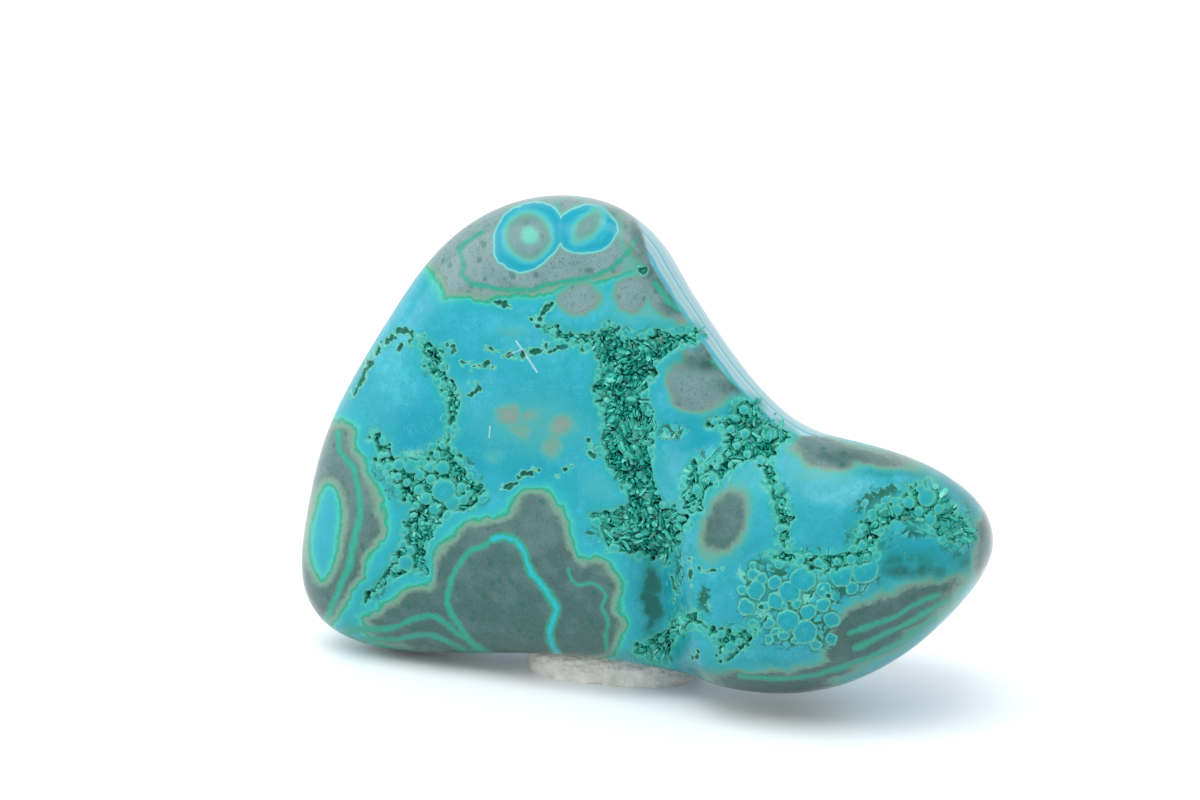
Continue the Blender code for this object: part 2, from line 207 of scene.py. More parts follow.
def polygon_distance(points, polygon):
    """Signed: above zero inside the polygon."""
    polygon = np.array(polygon, float)
    distance = segment_distance(points, polygon, np.roll(polygon, -1, axis=0))
    return np.where(inside(points, polygon), distance, -distance)


def ellipse_distance(points, centre, radii, degrees=0.0):
    """Signed, and close to true near the ellipse."""
    angle = math.radians(degrees)
    offset = points - np.array(centre, float)
    a = offset[:, 0] * math.cos(angle) + offset[:, 1] * math.sin(angle)
    b = -offset[:, 0] * math.sin(angle) + offset[:, 1] * math.cos(angle)
    return (1.0 - np.hypot(a / radii[0], b / radii[1])) * min(radii)


def rounded(line, closed=False, times=2):
    """Chaikin's corner cutting, which makes a drawn line run smoothly."""
    points = np.array(line, float)
    for _ in range(times):
        following = np.roll(points, -1, axis=0)
        if not closed:
            points, following = points[:-1], following[:-1]
            ends = (np.array(line[:1], float), np.array(line[-1:], float))
        cut = np.stack((0.75 * points + 0.25 * following, 0.25 * points + 0.75 * following), axis=1)
        points = cut.reshape(-1, 2)
        if not closed:
            points = np.concatenate((ends[0], points, ends[1]))
    return points


# The form of the stone

def spine_point(x):
    (left_x, left_z), (right_x, right_z) = SPINE
    t = (min(max(x, left_x), right_x) - left_x) / (right_x - left_x)
    swell = SPINE_SWELL * math.sin(math.pi * min(1.0, t / SPINE_SWELL_SHARE))
    return Vector((left_x + t * (right_x - left_x), left_z + t * (right_z - left_z) + swell))


def stone_cage():
    bm = bmesh.new()
    rings = []
    for crisp_y, crisp_inset, soft_y, soft_inset in RINGS:
        ring = []
        for x, z, softness in OUTLINE:
            y = crisp_y + softness * (soft_y - crisp_y)
            inset = crisp_inset + softness * (soft_inset - crisp_inset)
            towards = spine_point(x - CRISP_LEAN * (1.0 - softness)) - Vector((x, z))
            inset = min(inset, LARGEST_INSET_SHARE * towards.length)
            place = Vector((x, z)) + towards.normalized() * inset
            ring.append(bm.verts.new((place.x, y, place.y)))
        rings.append(ring)
    count = len(OUTLINE)
    for front, back in zip(rings, rings[1:]):
        for i in range(count):
            j = (i + 1) % count
            bm.faces.new((front[i], front[j], back[j], back[i]))
    for ring, middle_y in ((rings[0], FRONT_MIDDLE_Y), (rings[-1], BACK_MIDDLE_Y)):
        inner = []
        for vertex, (x, _, _) in zip(ring, OUTLINE):
            place = Vector((vertex.co.x, vertex.co.z)).lerp(spine_point(x), CLOSING_SHARE)
            inner.append(bm.verts.new((place.x, middle_y, place.y)))
        for i in range(count):
            j = (i + 1) % count
            bm.faces.new((ring[i], ring[j], inner[j], inner[i]))
        bm.faces.new(inner)
    bmesh.ops.recalc_face_normals(bm, faces=bm.faces)
    return bm


def soft_ramp(t):
    """0 below 0 and 1 above 1, straight between, with slightly rounded corners."""
    return 0.5 + 0.5 * (np.sqrt(t**2 + 0.006) - np.sqrt((t - 1.0) ** 2 + 0.006))


def face_relief(x, z):
    valley_x, lobe_x = LOBE_LEFT_X
    rise = clamp01(soft_ramp((x - valley_x) / (lobe_x - valley_x)))
    lobe = rise * (1.0 - smoothstep(*LOBE_RIGHT_X, x)) * (1.0 - smoothstep(*LOBE_TOP_Z, z))
    groove = smoothstep(valley_x - GROOVE_LEFT_WIDTH, valley_x, x) * (1.0 - rise)
    groove = groove * (1.0 - smoothstep(*GROOVE_TOP_Z, z))
    return GROOVE_DEPTH * groove - LOBE_PROUD * lobe


def form(levels):
    """(points, quads) of the whole stone without its hollows."""
    mesh = bpy.data.meshes.new("form")
    bm = stone_cage()
    bm.to_mesh(mesh)
    bm.free()
    obj = bpy.data.objects.new("form", mesh)
    bpy.context.scene.collection.objects.link(obj)
    smooth = obj.modifiers.new("smooth", "SUBSURF")
    smooth.levels = levels
    smooth.render_levels = levels
    made = obj.evaluated_get(bpy.context.evaluated_depsgraph_get()).data
    points = np.empty(len(made.vertices) * 3, np.float32)
    made.vertices.foreach_get("co", points)
    points = points.reshape(-1, 3).astype(float)
    quads = np.empty(len(made.loops), np.int32)
    made.loops.foreach_get("vertex_index", quads)
    bpy.data.objects.remove(obj)
    front = 1.0 - smoothstep(*FACE_FADE_Y, points[:, 1])
    points[:, 1] += face_relief(points[:, 0], points[:, 2]) * front
    return points, quads.reshape(-1, 4)


def tree_of(points, faces):
    return BVHTree.FromPolygons([Vector(p) for p in points], [tuple(f) for f in faces.tolist()])


def patches(chosen, neighbours):
    """The connected sets of the chosen faces, largest first."""
    left = set(np.flatnonzero(chosen).tolist())
    found = []
    while left:
        waiting = [left.pop()]
        patch = list(waiting)
        while waiting:
            for other in neighbours[waiting.pop()]:
                if other in left:
                    left.discard(other)
                    waiting.append(other)
                    patch.append(other)
        found.append(patch)
    return sorted(found, key=len, reverse=True)


def seen_faces(points, quads):
    """Which faces the photograph's camera sees well, as one patch with no holes."""
    corners = points[quads]
    normals = np.cross(corners[:, 2] - corners[:, 0], corners[:, 3] - corners[:, 1])
    normals /= np.linalg.norm(normals, axis=1)[:, None]
    towards = CAMERA_PLACE - corners.mean(axis=1)
    towards /= np.linalg.norm(towards, axis=1)[:, None]
    seen = (normals * towards).sum(axis=1) > PATCH_VISIBLE
    by_edge = {}
    for index, quad in enumerate(quads.tolist()):
        for a, b in zip(quad, quad[1:] + quad[:1]):
            by_edge.setdefault((min(a, b), max(a, b)), []).append(index)
    neighbours = [[] for _ in quads]
    for pair in by_edge.values():
        neighbours[pair[0]].append(pair[1])
        neighbours[pair[1]].append(pair[0])
    table = np.array(neighbours)
    for _ in range(6):
        votes = seen[table].sum(axis=1)
        seen = np.where(votes > 2, True, np.where(votes < 2, False, seen))
    for patch in patches(~seen, neighbours)[1:]:
        seen[patch] = True
    for patch in patches(seen, neighbours)[1:]:
        seen[patch] = False
    return seen


def border_loop(quads):
    """The vertices round the outside of these faces, in order."""
    directed = {(a, b) for quad in quads.tolist() for a, b in zip(quad, quad[1:] + quad[:1])}
    following = {a: b for a, b in directed if (b, a) not in directed}
    loops = []
    while following:
        start, here = following.popitem()
        loop = [start]
        while here != start:
            loop.append(here)
            here = following.pop(here)
        loops.append(loop)
    return max(loops, key=len)


# The hollows, drawn in pixels

HOLLOWS = {
    "left": (
        (420, 343), (426, 341), (433, 348), (441, 351), (442, 360), (441, 368), (446, 376),
        (453, 384), (459, 395), (459, 405), (456, 412), (455, 424), (450, 434), (449, 446),
        (455, 456), (460, 466), (468, 476), (480, 488), (488, 494), (480, 500), (468, 508),
        (455, 512), (444, 514), (438, 524), (433, 534), (428, 544), (424, 554), (422, 563),
        (426, 577), (420, 573), (416, 568), (405, 573), (392, 579), (381, 587), (370, 596),
        (362, 601), (372, 588), (382, 577), (389, 566), (394, 554), (401, 544), (404, 534),
        (402, 526), (408, 518), (411, 508), (407, 500), (402, 490), (390, 483), (382, 470),
        (378, 458), (374, 444), (370, 431), (378, 432), (384, 444), (392, 456), (402, 464),
        (414, 470), (426, 470), (434, 466), (430, 456), (432, 448), (440, 446), (446, 440),
        (448, 428), (446, 416), (448, 406), (446, 396), (440, 384), (432, 374), (424, 362),
        (426, 354),
    ),
    "centre": (
        (548, 326), (556, 328), (562, 334), (572, 336), (586, 333), (597, 339), (600, 326),
        (607, 320), (614, 323), (618, 332), (624, 339), (636, 338), (646, 338), (651, 332),
        (657, 335), (665, 329), (673, 336), (684, 334), (691, 330), (698, 332), (697, 338),
        (684, 343), (672, 351), (661, 359), (655, 365), (651, 376), (646, 388), (646, 398),
        (649, 408), (652, 418), (657, 428), (652, 437), (650, 448), (650, 462), (652, 478),
        (655, 490), (661, 500), (668, 506), (677, 513), (688, 521), (688, 527), (679, 534),
        (673, 546), (667, 556), (667, 567), (663, 566), (663, 558), (652, 556), (640, 555),
        (626, 552), (612, 551), (603, 544), (602, 532), (596, 521), (588, 512), (600, 513),
        (612, 511), (624, 508), (628, 500), (624, 488), (616, 475), (607, 466), (602, 456),
        (600, 444), (602, 430), (603, 418), (599, 408), (595, 397), (594, 384), (598, 372),
        (600, 360), (599, 350), (588, 348), (574, 345), (562, 340), (553, 333),
    ),
    "right": (
        (704, 422), (712, 418), (722, 418), (728, 421), (735, 418), (736, 408), (734, 402),
        (742, 399), (752, 401), (757, 407), (754, 414), (760, 418), (768, 424), (780, 430),
        (792, 431), (788, 439), (779, 446), (772, 452), (768, 458), (772, 468), (776, 478),
        (777, 490), (784, 498), (788, 508), (790, 522), (786, 534), (790, 542), (789, 550),
        (781, 548), (779, 536), (779, 520), (774, 508), (770, 496), (765, 486), (764, 474),
        (761, 464), (757, 458), (747, 461), (738, 464), (731, 470), (722, 476), (716, 483),
        (708, 487), (702, 496), (700, 506), (694, 513), (685, 510), (682, 500), (684, 490),
        (682, 480), (690, 474), (688, 464), (694, 458), (698, 466), (702, 472), (709, 470),
        (713, 462), (722, 456), (726, 446), (722, 436), (724, 430), (716, 424),
    ),
    "lobe": (
        (766, 550), (784, 554), (806, 557), (830, 557), (850, 552), (856, 536), (862, 522),
        (878, 510), (894, 503), (906, 492), (918, 484), (930, 479), (936, 488), (944, 504),
        (954, 516), (966, 520), (966, 536), (958, 546), (946, 542), (934, 534), (916, 522),
        (900, 520), (884, 524), (876, 538), (872, 550), (878, 560), (862, 564), (838, 567),
        (822, 571), (806, 565), (788, 563), (774, 559),
    ),
    "lower": (
        (631, 654), (638, 645), (647, 640), (655, 634), (664, 631), (672, 624), (682, 618),
        (690, 612), (697, 617), (704, 626), (712, 630), (722, 633), (734, 634), (746, 631),
        (757, 624), (759, 629), (752, 638), (745, 646), (738, 652), (731, 661), (721, 662),
        (719, 652), (717, 642), (708, 634), (700, 628), (692, 624), (684, 630), (676, 638),
        (671, 646), (668, 654), (664, 662), (658, 661), (648, 660), (640, 658),
    ),
}

# Flat-topped nodules that stand in the hollows up to the polished face: centre and radius.
NODULES = (
    (398, 465, 6), (410, 467, 7), (419, 476, 5), (406, 483, 4), (442, 468, 7), (443, 491, 12),
    (430, 480, 5), (425, 499, 6), (452, 503, 8), (461, 488, 5), (434, 509, 6), (418, 490, 5),
    (388, 467, 5), (397, 477, 4), (405, 563, 8), (395, 569, 4), (409, 551, 5), (463, 500, 5),
    (430, 468, 5), (415, 506, 4), (386, 455, 3), (421, 464, 4), (436, 455, 4), (468, 494, 4),
    (744, 434, 5), (736, 446, 4), (730, 430, 4), (712, 478, 5), (703, 482, 4), (696, 490, 5),
    (743, 410, 5), (770, 434, 6), (746, 454, 4), (716, 466, 3), (768, 488, 3), (784, 528, 3),
    (862, 528, 4), (872, 518, 5), (884, 512, 5), (896, 510, 6), (908, 503, 6), (918, 512, 5),
    (926, 498, 9), (938, 510, 5), (930, 520, 6), (944, 524, 5), (954, 528, 5), (920, 489, 5),
    (862, 546, 5), (850, 560, 5), (836, 562, 4), (818, 563, 5), (800, 560, 4), (866, 558, 4),
    (730, 648, 6), (724, 656, 4), (738, 642, 4), (652, 648, 3), (706, 632, 3), (660, 640, 3),
)
RIM_STEP = 12
RIM_NODULE = (1.5, 4.5)


def hollow_outlines():
    """The drawn outlines with a ragged edge."""
    random = np.random.default_rng(SEED)
    outlines = {}
    for name, drawn in HOLLOWS.items():
        smooth = rounded(drawn, closed=True, times=2)
        outlines[name] = smooth + random.normal(0.0, 0.8, smooth.shape)
    return outlines


def rim_nodules(outlines):
    """Small nodules along the rims, and bites out of them, each as centre and radius."""
    random = np.random.default_rng(SEED + 1)
    nodules = [np.array(NODULES, float)]
    bites = []
    for outline in outlines.values():
        length = np.linalg.norm(outline - np.roll(outline, 1, axis=0), axis=1).sum()
        for made, low, high in ((nodules, *RIM_NODULE), (bites, 1.2, 3.6)):
            count = int(length / RIM_STEP)
            centres = outline[random.integers(0, len(outline), count)]
            centres = centres + random.normal(0.0, 1.5, centres.shape)
            made.append(np.column_stack((centres, random.uniform(low, high, count))))
    return np.concatenate(nodules), np.concatenate(bites)


def disc_distance(points, discs):
    """Signed distance into the nearest of many discs, in pixels."""
    best = np.full(len(points), -1e9)
    for u, v, radius in discs:
        best = np.maximum(best, radius - np.hypot(points[:, 0] - u, points[:, 1] - v))
    return best


def hollow_distance(points, outlines, nodules, bites):
    """How far inside a hollow each pixel is, less the nodules that stand in it."""
    best = np.maximum.reduce([polygon_distance(points, line) for line in outlines.values()])
    best = np.maximum(best, disc_distance(points, bites))
    return np.minimum(best, -disc_distance(points, nodules))


def hexagonal_fill(low, high, spacing, random):
    rows = int((high[1] - low[1]) / (spacing * 0.866)) + 1
    columns = int((high[0] - low[0]) / spacing) + 1
    row, column = np.mgrid[0:rows, 0:columns]
    x = low[0] + (column + 0.5 * (row % 2)) * spacing
    y = low[1] + row * spacing * 0.866
    points = np.stack((x.ravel(), y.ravel()), axis=1)
    return points + random.uniform(-0.12, 0.12, points.shape) * spacing


def place_pixels(tree, pixels):
    """The place on the stone that each pixel shows."""
    start = Vector(CAMERA_PLACE)
    places = np.full((len(pixels), 3), np.nan)
    for index, (u, v) in enumerate(pixels):
        hit, _, _, _ = tree.ray_cast(start, Vector(pixel_ray(u, v)))
        if hit is not None:
            places[index] = hit
    return places


def fine_places(pixels, outlines, nodules, bites):
    """Where the marks are thin enough to need the finer mesh."""
    near = np.abs(hollow_distance(pixels, outlines, nodules, bites)) < 3.6
    for half_width, _, line in VEINS:
        near |= line_distance(pixels, rounded(line)) < half_width + 2.0
    for half_width, line in CRACKS + SCRATCHES:
        near |= line_distance(pixels, line) < half_width + 2.0
    for line in ORBS:
        near |= np.abs(polygon_distance(pixels, rounded(line, closed=True))) < 3.0
    return near | (np.abs(disc_distance(pixels, CELLS)) < 3.0)


def stone_surface(outlines, nodules, bites):
    """(points, faces) of the stone before carving: fine where the photograph looks, plain behind."""
    random = np.random.default_rng(SEED)
    tree = tree_of(*form(4))
    points, quads = form(3)
    seen = seen_faces(points, quads)
    loop = border_loop(quads[seen])
    border = to_pixels(points[loop])
    low, high = border.min(axis=0), border.max(axis=0)
    coarse = hexagonal_fill(low, high, PATCH_SPACING, random)
    coarse = coarse[~fine_places(coarse, outlines, nodules, bites)]
    fine = hexagonal_fill(low, high, FINE_SPACING, random)
    fine = fine[fine_places(fine, outlines, nodules, bites)]
    fill = np.concatenate((coarse, fine))
    fill = fill[polygon_distance(fill, border) > 0.8 * PATCH_SPACING]
    flat = np.concatenate((border, fill))
    edges = [(i, (i + 1) % len(loop)) for i in range(len(loop))]
    spots, _, triangles, _, _, _ = delaunay_2d_cdt([Vector(p) for p in flat], edges, [], 1, 1e-6)
    if len(spots) != len(flat):
        raise RuntimeError("two pixels of the patch fell together")
    index = np.concatenate((loop, len(points) + np.arange(len(fill))))
    patch = index[np.array(triangles)[:, ::-1]]
    points = np.concatenate((points, place_pixels(tree, fill)))
    faces = [tuple(q) for q in quads[~seen].tolist()] + [tuple(t) for t in patch.tolist()]
    return points, faces


# Meshes

def new_piece(name, points, faces, material, attributes=None, smooth=True):
    """A mesh object in metres, moved to the row frame."""
    mesh = bpy.data.meshes.new(name)
    mesh.from_pydata([tuple(p) for p in ((np.asarray(points) + np.array(ORIGIN_MOVE)) * MM)], [], faces)
    mesh.materials.append(material)
    for key, values in (attributes or {}).items():
        layer = mesh.attributes.new(key, "FLOAT", "POINT")
        layer.data.foreach_set("value", np.asarray(values, np.float32))
    if smooth:
        mesh.shade_smooth()
    mesh.update()
    obj = bpy.data.objects.new(name, mesh)
    bpy.context.scene.collection.objects.link(obj)
    return obj


# Drawn in pixels: markings of the polished face

TOP_GREY = (
    (418, 250), (428, 272), (437, 279), (440, 292), (444, 302), (455, 296), (469, 295), (478, 303),
    (497, 299), (520, 292), (533, 298), (556, 290), (568, 286), (584, 284), (600, 282), (618, 276),
    (634, 270), (652, 262), (662, 250), (650, 225), (620, 190), (560, 170), (480, 185), (430, 225),
)
# Grey patches with a soft edge: centre, half sizes, turn in degrees, and the width of the edge.
SOFT_GREYS = (
    ((579, 299), (19, 14), -20, 7),
    ((631, 294), (15, 16), 0, 7),
    ((724, 522), (18, 32), 24, 13),
    ((698, 386), (30, 24), 28, 9),
    ((712, 368), (44, 13), 46, 8),
    ((664, 296), (36, 12), 44, 8),
    ((640, 245), (9, 36), -26, 8),
    ((822, 452), (32, 15), 14, 9),
    ((862, 455), (46, 7), 10, 7),
    ((870, 630), (48, 27), -28, 12),
    ((905, 612), (52, 20), -27, 12),
    ((846, 648), (22, 18), -20, 10),
    ((930, 594), (34, 10), -22, 10),
    ((770, 684), (62, 12), 3, 8),
    ((820, 672), (40, 9), -12, 8),
    ((986, 535), (9, 44), 8, 6),
    ((572, 206), (12, 8), 10, 4),
)
LEFT_GREY = (
    (338, 420), (352, 423), (357, 441), (366, 465), (370, 478), (377, 490), (383, 498), (382, 508),
    (385, 520), (386, 535), (384, 542), (376, 548), (370, 555), (365, 572), (358, 585), (350, 598),
    (345, 607), (336, 622), (322, 632), (290, 640), (270, 560), (285, 460), (310, 425),
)
LEFT_ORB = (
    (330, 482), (341, 500), (341, 530), (335, 560), (328, 575), (320, 583), (310, 555), (309, 535),
    (313, 515), (318, 500), (322, 488),
)
LOWER_GREY = (
    (362, 625), (362, 612), (370, 614), (385, 603), (400, 597), (410, 585), (428, 585), (431, 575),
    (430, 560), (440, 545), (447, 537), (462, 525), (480, 517), (508, 513), (515, 503), (520, 493),
    (530, 488), (545, 489), (555, 494), (560, 505), (566, 518), (573, 535), (575, 548), (578, 560),
    (600, 555), (608, 560), (612, 572), (622, 580), (623, 590), (617, 602), (626, 622), (622, 632),
    (618, 650), (600, 662), (560, 668), (500, 664), (450, 660), (400, 652), (375, 645),
)

# Lines of brighter or greener mineral: half width in pixels, tone from emerald over green to cyan,
# then the line.
VEINS = (
    (3.4, 1.0, (
        (492, 540), (505, 536), (516, 540), (522, 547), (526, 556), (528, 566), (533, 577),
        (540, 583), (547, 592), (553, 600), (557, 609), (554, 619), (550, 630), (550, 641), (557, 655),
    )),
    (1.6, 0.35, (
        (492, 540), (484, 546), (474, 549), (465, 553), (462, 563), (454, 574), (448, 590),
        (447, 601), (450, 612), (458, 625), (470, 640), (480, 652),
    )),
    (2.0, 0.4, (
        (337, 432), (340, 452), (351, 462), (355, 476), (358, 490), (361, 503), (360, 516),
        (357, 530), (353, 548), (350, 565), (344, 578), (337, 592), (333, 605), (326, 620),
    )),
    (0.7, 0.7, (
        (482, 233), (470, 240), (459, 249), (462, 258), (465, 268), (459, 275), (474, 284),
        (490, 287), (508, 290), (533, 290), (556, 282), (586, 279), (611, 268), (630, 252), (636, 240),
    )),
    (0.5, 0.2, (
        (568, 570), (572, 582), (580, 586), (590, 583), (598, 585), (604, 592), (606, 600),
        (601, 607), (607, 615), (608, 625), (604, 632), (606, 648),
    )),
    (1.4, 0.3, (
        (340, 634), (362, 628), (380, 630), (395, 628), (410, 620), (432, 614), (448, 626),
        (478, 648), (500, 658),
    )),
    (1.2, 0.2, ((345, 642), (375, 638), (400, 640), (430, 632), (455, 646), (480, 656))),
    (1.5, 0.2, ((856, 648), (872, 639), (900, 627), (925, 614), (948, 600))),
    (1.2, 0.1, ((850, 634), (870, 626), (895, 616), (915, 605), (940, 594))),
    (1.2, 0.1, ((740, 676), (780, 680), (820, 674), (860, 662), (900, 642), (935, 618))),
    (1.4, 0.3, ((655, 285), (661, 293), (668, 300), (680, 309))),
    (1.6, 0.0, ((714, 361), (724, 371), (733, 379), (742, 387))),
)

ORBS = (
    (
        (520, 205), (505, 213), (495, 230), (493, 248), (497, 261), (508, 270), (518, 273),
        (532, 270), (545, 263), (555, 252), (560, 243), (564, 226), (560, 212), (548, 203), (534, 201),
    ),
    (
        (556, 236), (560, 245), (566, 251), (575, 253), (590, 251), (600, 252), (608, 248),
        (614, 240), (618, 230), (616, 221), (606, 210), (592, 204), (576, 206), (564, 214), (557, 226),
    ),
)
ORB_HEARTS = (((528, 236), (22, 23), 0), ((588, 226), (9, 17), 42))
ORB_CORES = ((530.0, 235.0, 9.0),)

# Soft patches: centre, radius across and down, strength.
TAN_SPOTS = (
    (510, 415, 15, 12, 1.0), (532, 418, 10, 8, 0.8), (520, 431, 16, 10, 0.7), (561, 427, 14, 12, 1.0),
    (552, 446, 12, 12, 0.85), (535, 425, 50, 28, 0.35), (458, 396, 6, 8, 0.9), (510, 331, 14, 7, 0.35),
    (495, 455, 12, 8, 0.3), (630, 300, 30, 26, 0.35), (668, 322, 24, 8, 0.4), (598, 488, 20, 18, 0.22),
    (648, 312, 22, 8, 0.5), (822, 474, 26, 9, 0.4), (730, 488, 22, 14, 0.35), (760, 448, 12, 4, 0.8),
    (602, 590, 14, 30, 0.5), (768, 416, 12, 5, 0.7), (585, 345, 5, 5, 0.8), (553, 331, 5, 5, 0.8),
)
# Teal of the stone, and painted shade: the spots down the groove near (652–688, 580–600) and the thin ones along
# the lower edge darken where the stone turns from the light.
TEAL_AND_SHADE_SPOTS = (
    (840, 560, 150, 110, 0.3), (700, 470, 60, 60, 0.2), (540, 420, 70, 40, 0.15), (652, 600, 10, 46, 1.3),
    (940, 500, 40, 40, 0.45), (900, 560, 70, 16, 0.8), (760, 670, 90, 12, 0.5), (350, 640, 60, 10, 0.7),
    (925, 572, 60, 14, 0.9), (905, 470, 50, 8, 0.9), (966, 520, 18, 44, 0.7), (968, 566, 22, 26, 0.8),
    (945, 545, 30, 16, 0.4), (330, 632, 50, 16, 0.7), (370, 626, 40, 10, 0.6), (655, 598, 14, 44, 1.0),
    (876, 590, 20, 10, 0.7), (800, 664, 90, 8, 0.5), (690, 345, 20, 10, 0.6), (690, 322, 22, 14, 0.5),
    (665, 330, 22, 10, 0.4), (450, 652, 130, 8, 0.6), (780, 426, 30, 8, 0.7), (935, 580, 34, 12, 0.6),
    (866, 560, 46, 10, 0.4), (600, 400, 8, 60, 0.3), (688, 590, 6, 50, 0.5), (736, 470, 44, 20, 0.2),
    (560, 338, 50, 8, 0.3), (396, 500, 30, 14, 0.2), (682, 640, 14, 24, 0.7), (676, 580, 12, 40, 0.3),
    (640, 660, 60, 8, 0.7), (780, 650, 60, 10, 0.2), (745, 640, 20, 20, 0.2),
)
# Darker patches; the thin ones along the lower edge, near (455–790, 652–690), are painted shade where the stone
# turns under.
DARK_AND_SHADE_SPOTS = (
    (640, 232, 8, 30, 0.7), (664, 286, 16, 10, 0.7), (676, 302, 14, 12, 0.9), (652, 268, 10, 20, 0.7),
    (712, 362, 30, 11, 0.9), (735, 386, 16, 8, 0.9), (616, 210, 18, 8, 0.6),
    (908, 574, 44, 6, 0.5), (840, 455, 40, 7, 0.6), (860, 640, 30, 14, 0.3), (770, 420, 18, 5, 0.6),
    (790, 690, 80, 9, 0.5), (520, 655, 130, 7, 0.5), (690, 672, 40, 6, 0.6), (455, 652, 90, 6, 0.4),
    (935, 640, 60, 18, 0.2), (700, 348, 10, 6, 0.7),
)
# Deeper or paler blue: centre, size across and down, and how much paler. The paler spots on the lobe at (820,
# 495) and (870, 485) and at the upper left at (436, 300) and (500, 325) are painted sheen; the others are the
# stone's own blue.
TONE_AND_SHEEN_SPOTS = (
    (560, 355, 70, 34, 0.35), (500, 325, 60, 30, 0.25), (436, 300, 50, 40, 0.15), (820, 495, 50, 26, 0.3),
    (870, 485, 40, 16, 0.45), (395, 370, 24, 44, 0.3), (416, 425, 44, 26, -0.5), (585, 390, 26, 50, -0.45),
    (490, 460, 70, 26, -0.5), (470, 425, 16, 40, -0.2), (610, 300, 40, 26, 0.25), (700, 450, 36, 40, -0.3),
    (740, 490, 40, 18, 0.25), (735, 545, 34, 18, -0.3), (598, 485, 26, 24, -0.1), (725, 595, 24, 30, -0.15),
    (822, 525, 40, 20, -0.15), (880, 545, 60, 20, -0.1), (690, 345, 20, 8, -0.5), (400, 345, 20, 16, 0.4),
    (630, 590, 10, 60, 0.0), (346, 420, 20, 30, 0.3), (640, 320, 40, 12, 0.1), (535, 515, 60, 10, -0.1),
)
CELLS = (
    (753, 575, 6), (762, 579, 5), (775, 583, 7), (757, 590, 9), (790, 592, 10), (776, 601, 8),
    (803, 580, 12), (808, 612, 8), (787, 620, 11), (768, 623, 6), (805, 632, 12), (822, 605, 7),
    (840, 575, 12), (865, 570, 13), (776, 632, 4), (795, 641, 4), (822, 590, 7), (745, 606, 8),
    (832, 620, 8), (742, 590, 5), (765, 607, 5), (822, 563, 5), (852, 588, 7), (785, 606, 4),
    (796, 604, 4), (830, 640, 6), (770, 640, 5), (784, 636, 5), (752, 566, 4), (815, 645, 5),
)
# Where the surface is a crowd of small round cells: centre, size across and down, strength.
CELL_SPOTS = (
    (790, 605, 52, 44, 1.0), (845, 580, 36, 20, 0.8), (760, 572, 26, 16, 1.0), (430, 478, 50, 34, 1.0),
    (392, 470, 22, 16, 0.9), (470, 500, 20, 12, 0.9), (408, 560, 22, 16, 0.8), (905, 508, 50, 26, 1.0),
    (955, 528, 22, 30, 0.9), (865, 540, 24, 20, 0.9), (712, 468, 24, 26, 0.8), (672, 432, 20, 10, 0.8),
    (630, 335, 36, 12, 0.7), (678, 334, 26, 8, 0.7), (596, 448, 12, 10, 0.8), (745, 412, 20, 14, 0.9),
    (650, 655, 24, 14, 0.8), (735, 640, 26, 22, 0.7), (678, 560, 10, 60, 0.6), (704, 608, 10, 26, 0.7),
    (440, 350, 16, 12, 0.6), (430, 362, 14, 20, 0.6), (452, 430, 12, 24, 0.5), (782, 520, 14, 50, 0.7),
    (590, 340, 30, 8, 0.7), (800, 556, 50, 10, 0.9), (680, 620, 14, 20, 0.7), (596, 535, 14, 16, 0.6),
    (890, 548, 30, 16, 0.4), (920, 530, 40, 14, 0.6), (820, 640, 20, 16, 0.6), (376, 590, 16, 12, 0.7),
)
# Chains of small open pits, as half width and line in pixels.
CRACKS = (
    (2.6, ((350, 396), (357, 388), (362, 378), (368, 366), (376, 352), (384, 344))),
    (3.4, ((384, 344), (392, 338), (397, 331), (406, 330), (411, 334), (414, 341), (420, 335))),
    (2.0, ((400, 348), (406, 342), (412, 338))),
    (3.0, ((526, 352), (533, 354), (539, 351), (545, 346), (550, 341))),
    (3.4, ((537, 327), (544, 327), (548, 332))),
    (3.6, ((533, 320), (540, 315), (546, 310), (551, 304))),
    (2.6, ((462, 362), (468, 365), (475, 366), (484, 363), (492, 366))),
    (2.2, ((488, 348), (494, 351), (500, 350))),
    (3.0, ((503, 356), (510, 353), (518, 357), (526, 352))),
    (2.4, ((548, 352), (556, 348), (566, 346))),
    (2.4, ((494, 302), (503, 303), (510, 306))),
    (3.2, ((504, 488), (511, 484), (518, 481))),
    (3.4, ((520, 477), (527, 474), (534, 471))),
    (2.4, ((557, 476), (564, 473), (568, 468))),
    (2.4, ((470, 386), (476, 382), (480, 388), (472, 392))),
    (2.6, ((448, 344), (454, 346), (452, 351))),
    (1.6, ((673, 575), (672, 584), (677, 594), (673, 601))),
    (1.4, ((690, 560), (689, 572), (691, 584))),
    (2.6, ((696, 653), (695, 658), (694, 654))),
    (1.5, ((700, 566), (702, 570), (720, 568))),
    (2.6, ((590, 440), (588, 450), (594, 456))),
    (2.0, ((636, 268), (640, 273), (644, 270))),
    (2.6, ((822, 590), (828, 594), (824, 600))),
    (2.2, ((762, 606), (766, 614), (763, 624), (758, 632))),
)
SCRATCHES = (
    (0.8, ((516, 341), (524, 352), (531, 363), (537, 372))),
    (0.5, ((506, 356), (522, 349))),
    (0.6, ((490, 426), (489, 438))),
)
# The crisp upper right edge, beyond which the side shows its layers, painted pale with a reflection of the
# softbox as well.
SIDE_EDGE = (
    (618, 196), (633, 214), (642, 232), (650, 262), (667, 290), (684, 316), (698, 336), (711, 355),
    (722, 371), (736, 385), (752, 403), (776, 425), (800, 436),
)
